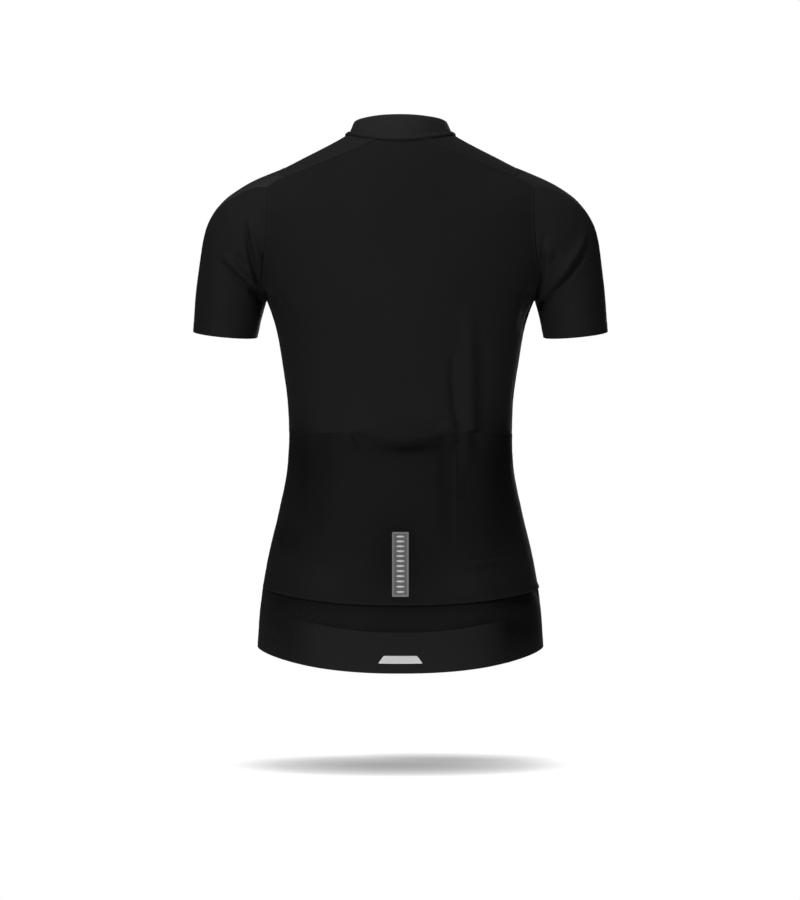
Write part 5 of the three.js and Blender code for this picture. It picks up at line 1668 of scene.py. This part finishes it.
tooth_rows = []
for sign, start in ((1, FIRST_TOOTH), (-1, FIRST_TOOTH + TOOTH_PITCH / 2)):
    places, out, rise = along_chain(np.arange(start, chain_length[-1] - CLEAR_AT_TOP, TOOTH_PITCH))
    tooth_rows.append((places + np.array([sign * TOOTH_OFF_MIDDLE, 0, 0]), out, rise * sign))
tooth_places = [np.concatenate([row[i] for row in tooth_rows]) for i in range(3)]
teeth_mesh = frames_mesh("tooth places", *tooth_places)
zip_teeth = grow("zip_teeth", teeth_mesh, tooth_tree, width=0.0030, length=0.0013, height=0.0020,
                 material=plain["zip teeth"])
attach(zip_teeth, "jersey")
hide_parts("zip_chain")
print("zip teeth", len(tooth_places[0]), "faces", len(zip_teeth.data.polygons))

# %% [markdown]
# The slider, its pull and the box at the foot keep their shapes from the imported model. A copy of each
# mesh is merged and its edges are rounded a little, because a cast and painted edge is never sharp.

# %% Slider, pull and box
def rounded_copy(name, node, body, width):
    """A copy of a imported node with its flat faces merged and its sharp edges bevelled."""
    work = bmesh.new()
    work.from_mesh(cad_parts[node].data)
    bmesh.ops.remove_doubles(work, verts=work.verts, dist=1e-6)
    bmesh.ops.dissolve_limit(work, angle_limit=1 * DEGREE, verts=work.verts, edges=work.edges)
    mesh = bpy.data.meshes.new(name)
    work.to_mesh(mesh)
    work.free()
    piece = new_object(name, mesh)
    bevel = piece.modifiers.new("rounded edges", "BEVEL")
    bevel.width = width * MM
    bevel.segments = 2
    bevel.limit_method = "ANGLE"
    bevel.angle_limit = 40 * DEGREE
    graph = bpy.context.evaluated_depsgraph_get()
    rounded = bpy.data.meshes.new_from_object(piece.evaluated_get(graph))
    piece.modifiers.remove(bevel)
    piece.data = rounded
    piece.data.materials.clear()
    piece.data.materials.append(plain["painted metal"])
    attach(piece, body)
    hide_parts(node)
    print(name, len(rounded.polygons), "faces")


rounded_copy("slider", "zip_slider", "jersey", 0.28)
rounded_copy("pull", "zip_pull", "zip_pull", 0.28)
rounded_copy("box_at_foot", "zip_box", "jersey", 0.35)

# %% [markdown]
# Every seam of a jersey is covered by rows of small stitches on both sides, in thread close to the
# cloth's own black. The rows follow the seams at a steady distance, measured along the cloth.

# %% Lines beside the seams
THREAD_STANDS = 0.12


def line_beside(name, side, distance, keep=(0, 1)):
    """A line on a laid piece at a distance from one of its sides, lifted by part of a thread."""
    skin, normals = skins[name]
    if side.endswith("row"):
        skin, normals = skin.transpose(1, 0, 2), normals.transpose(1, 0, 2)
    if side.startswith("last"):
        skin, normals = skin[:, ::-1], normals[:, ::-1]
    lengths = lengths_across(skin)
    line = []
    for row_lengths, row, row_normals in zip(lengths, skin, normals):
        if row_lengths[-1] < 2 * distance:
            continue
        point = [np.interp(distance, row_lengths, row[:, i]) for i in range(3)]
        normal = [np.interp(distance, row_lengths, row_normals[:, i]) for i in range(3)]
        line.append(np.array(point) + unit(np.array(normal)) * THREAD_STANDS)
    low, high = int(keep[0] * len(line)), int(math.ceil(keep[1] * len(line)))
    return np.array(line[low:high])


def sew(name, lines, pitch=2.7, length=2.25, thickness=0.42):
    source = lines_mesh(name + " lines", [line for line in lines if len(line) > 1])
    thread = grow(name, source, stitch_tree, pitch=pitch * MM, length=length * MM, thickness=thickness * MM,
                  material=plain["thread"])
    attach(thread, "jersey")
    print(name, len(thread.data.polygons), "faces")


def on_sleeves(edge, distance):
    return [line_beside(f"sleeve_{side}_{piece}_cloth", edge, distance)
            for side in ("left", "right") for piece in ("back", "front")]


def on_fronts(edges, distance):
    return [line_beside(f"front_{side}_cloth", edges[side], distance) for side in ("left", "right")]


above = float(np.searchsorted(back_climbs, POCKET_LINE + 3)) / len(back_climbs)
at_neck = float(np.searchsorted(back_climbs, NECK - 6)) / len(back_climbs)
back_sides = [line_beside("back", side, 2.8, keep=(above, at_neck))
              for side in ("first_column", "last_column")]
sew("stitches_back", back_sides)
sew("stitches_fronts", on_fronts(SEAM_EDGE, 3.0))
hem_rows = [line_beside(f"front_{side}_cloth", "first_row", FRONT_HEM - inwards)
            for side in ("left", "right") for inwards in (0, 3.2)]
sew("stitches_front_hem", hem_rows)
sew("stitches_zip", on_fronts(ZIP_SIDE, 3.2), pitch=2.4, length=2.0)
sew("stitches_armholes", on_sleeves("last_row", 2.6))
sew("stitches_cuffs", on_sleeves("first_row", CUFF_HEM), thickness=0.28)
mouth_row = line_beside("pocket_panel_cloth", "last_row", MOUTH_HEM)
foot_row = line_beside("pocket_panel_cloth", "first_row", 2.4)
sew("stitches_pocket", [mouth_row, foot_row], pitch=2.5, length=2.1, thickness=0.26)
band_row = line_beside("hem_band", "last_row", 1.8, keep=(0.12, 0.88))
sew("stitches_hem_band", [band_row], pitch=2.6, length=2.2)
tape_rows = [line_beside("neck_tape", "first_row", 1.5), line_beside("neck_tape", "last_row", 1.3)]
sew("stitches_collar", tape_rows, pitch=2.3, length=1.9, thickness=0.36)
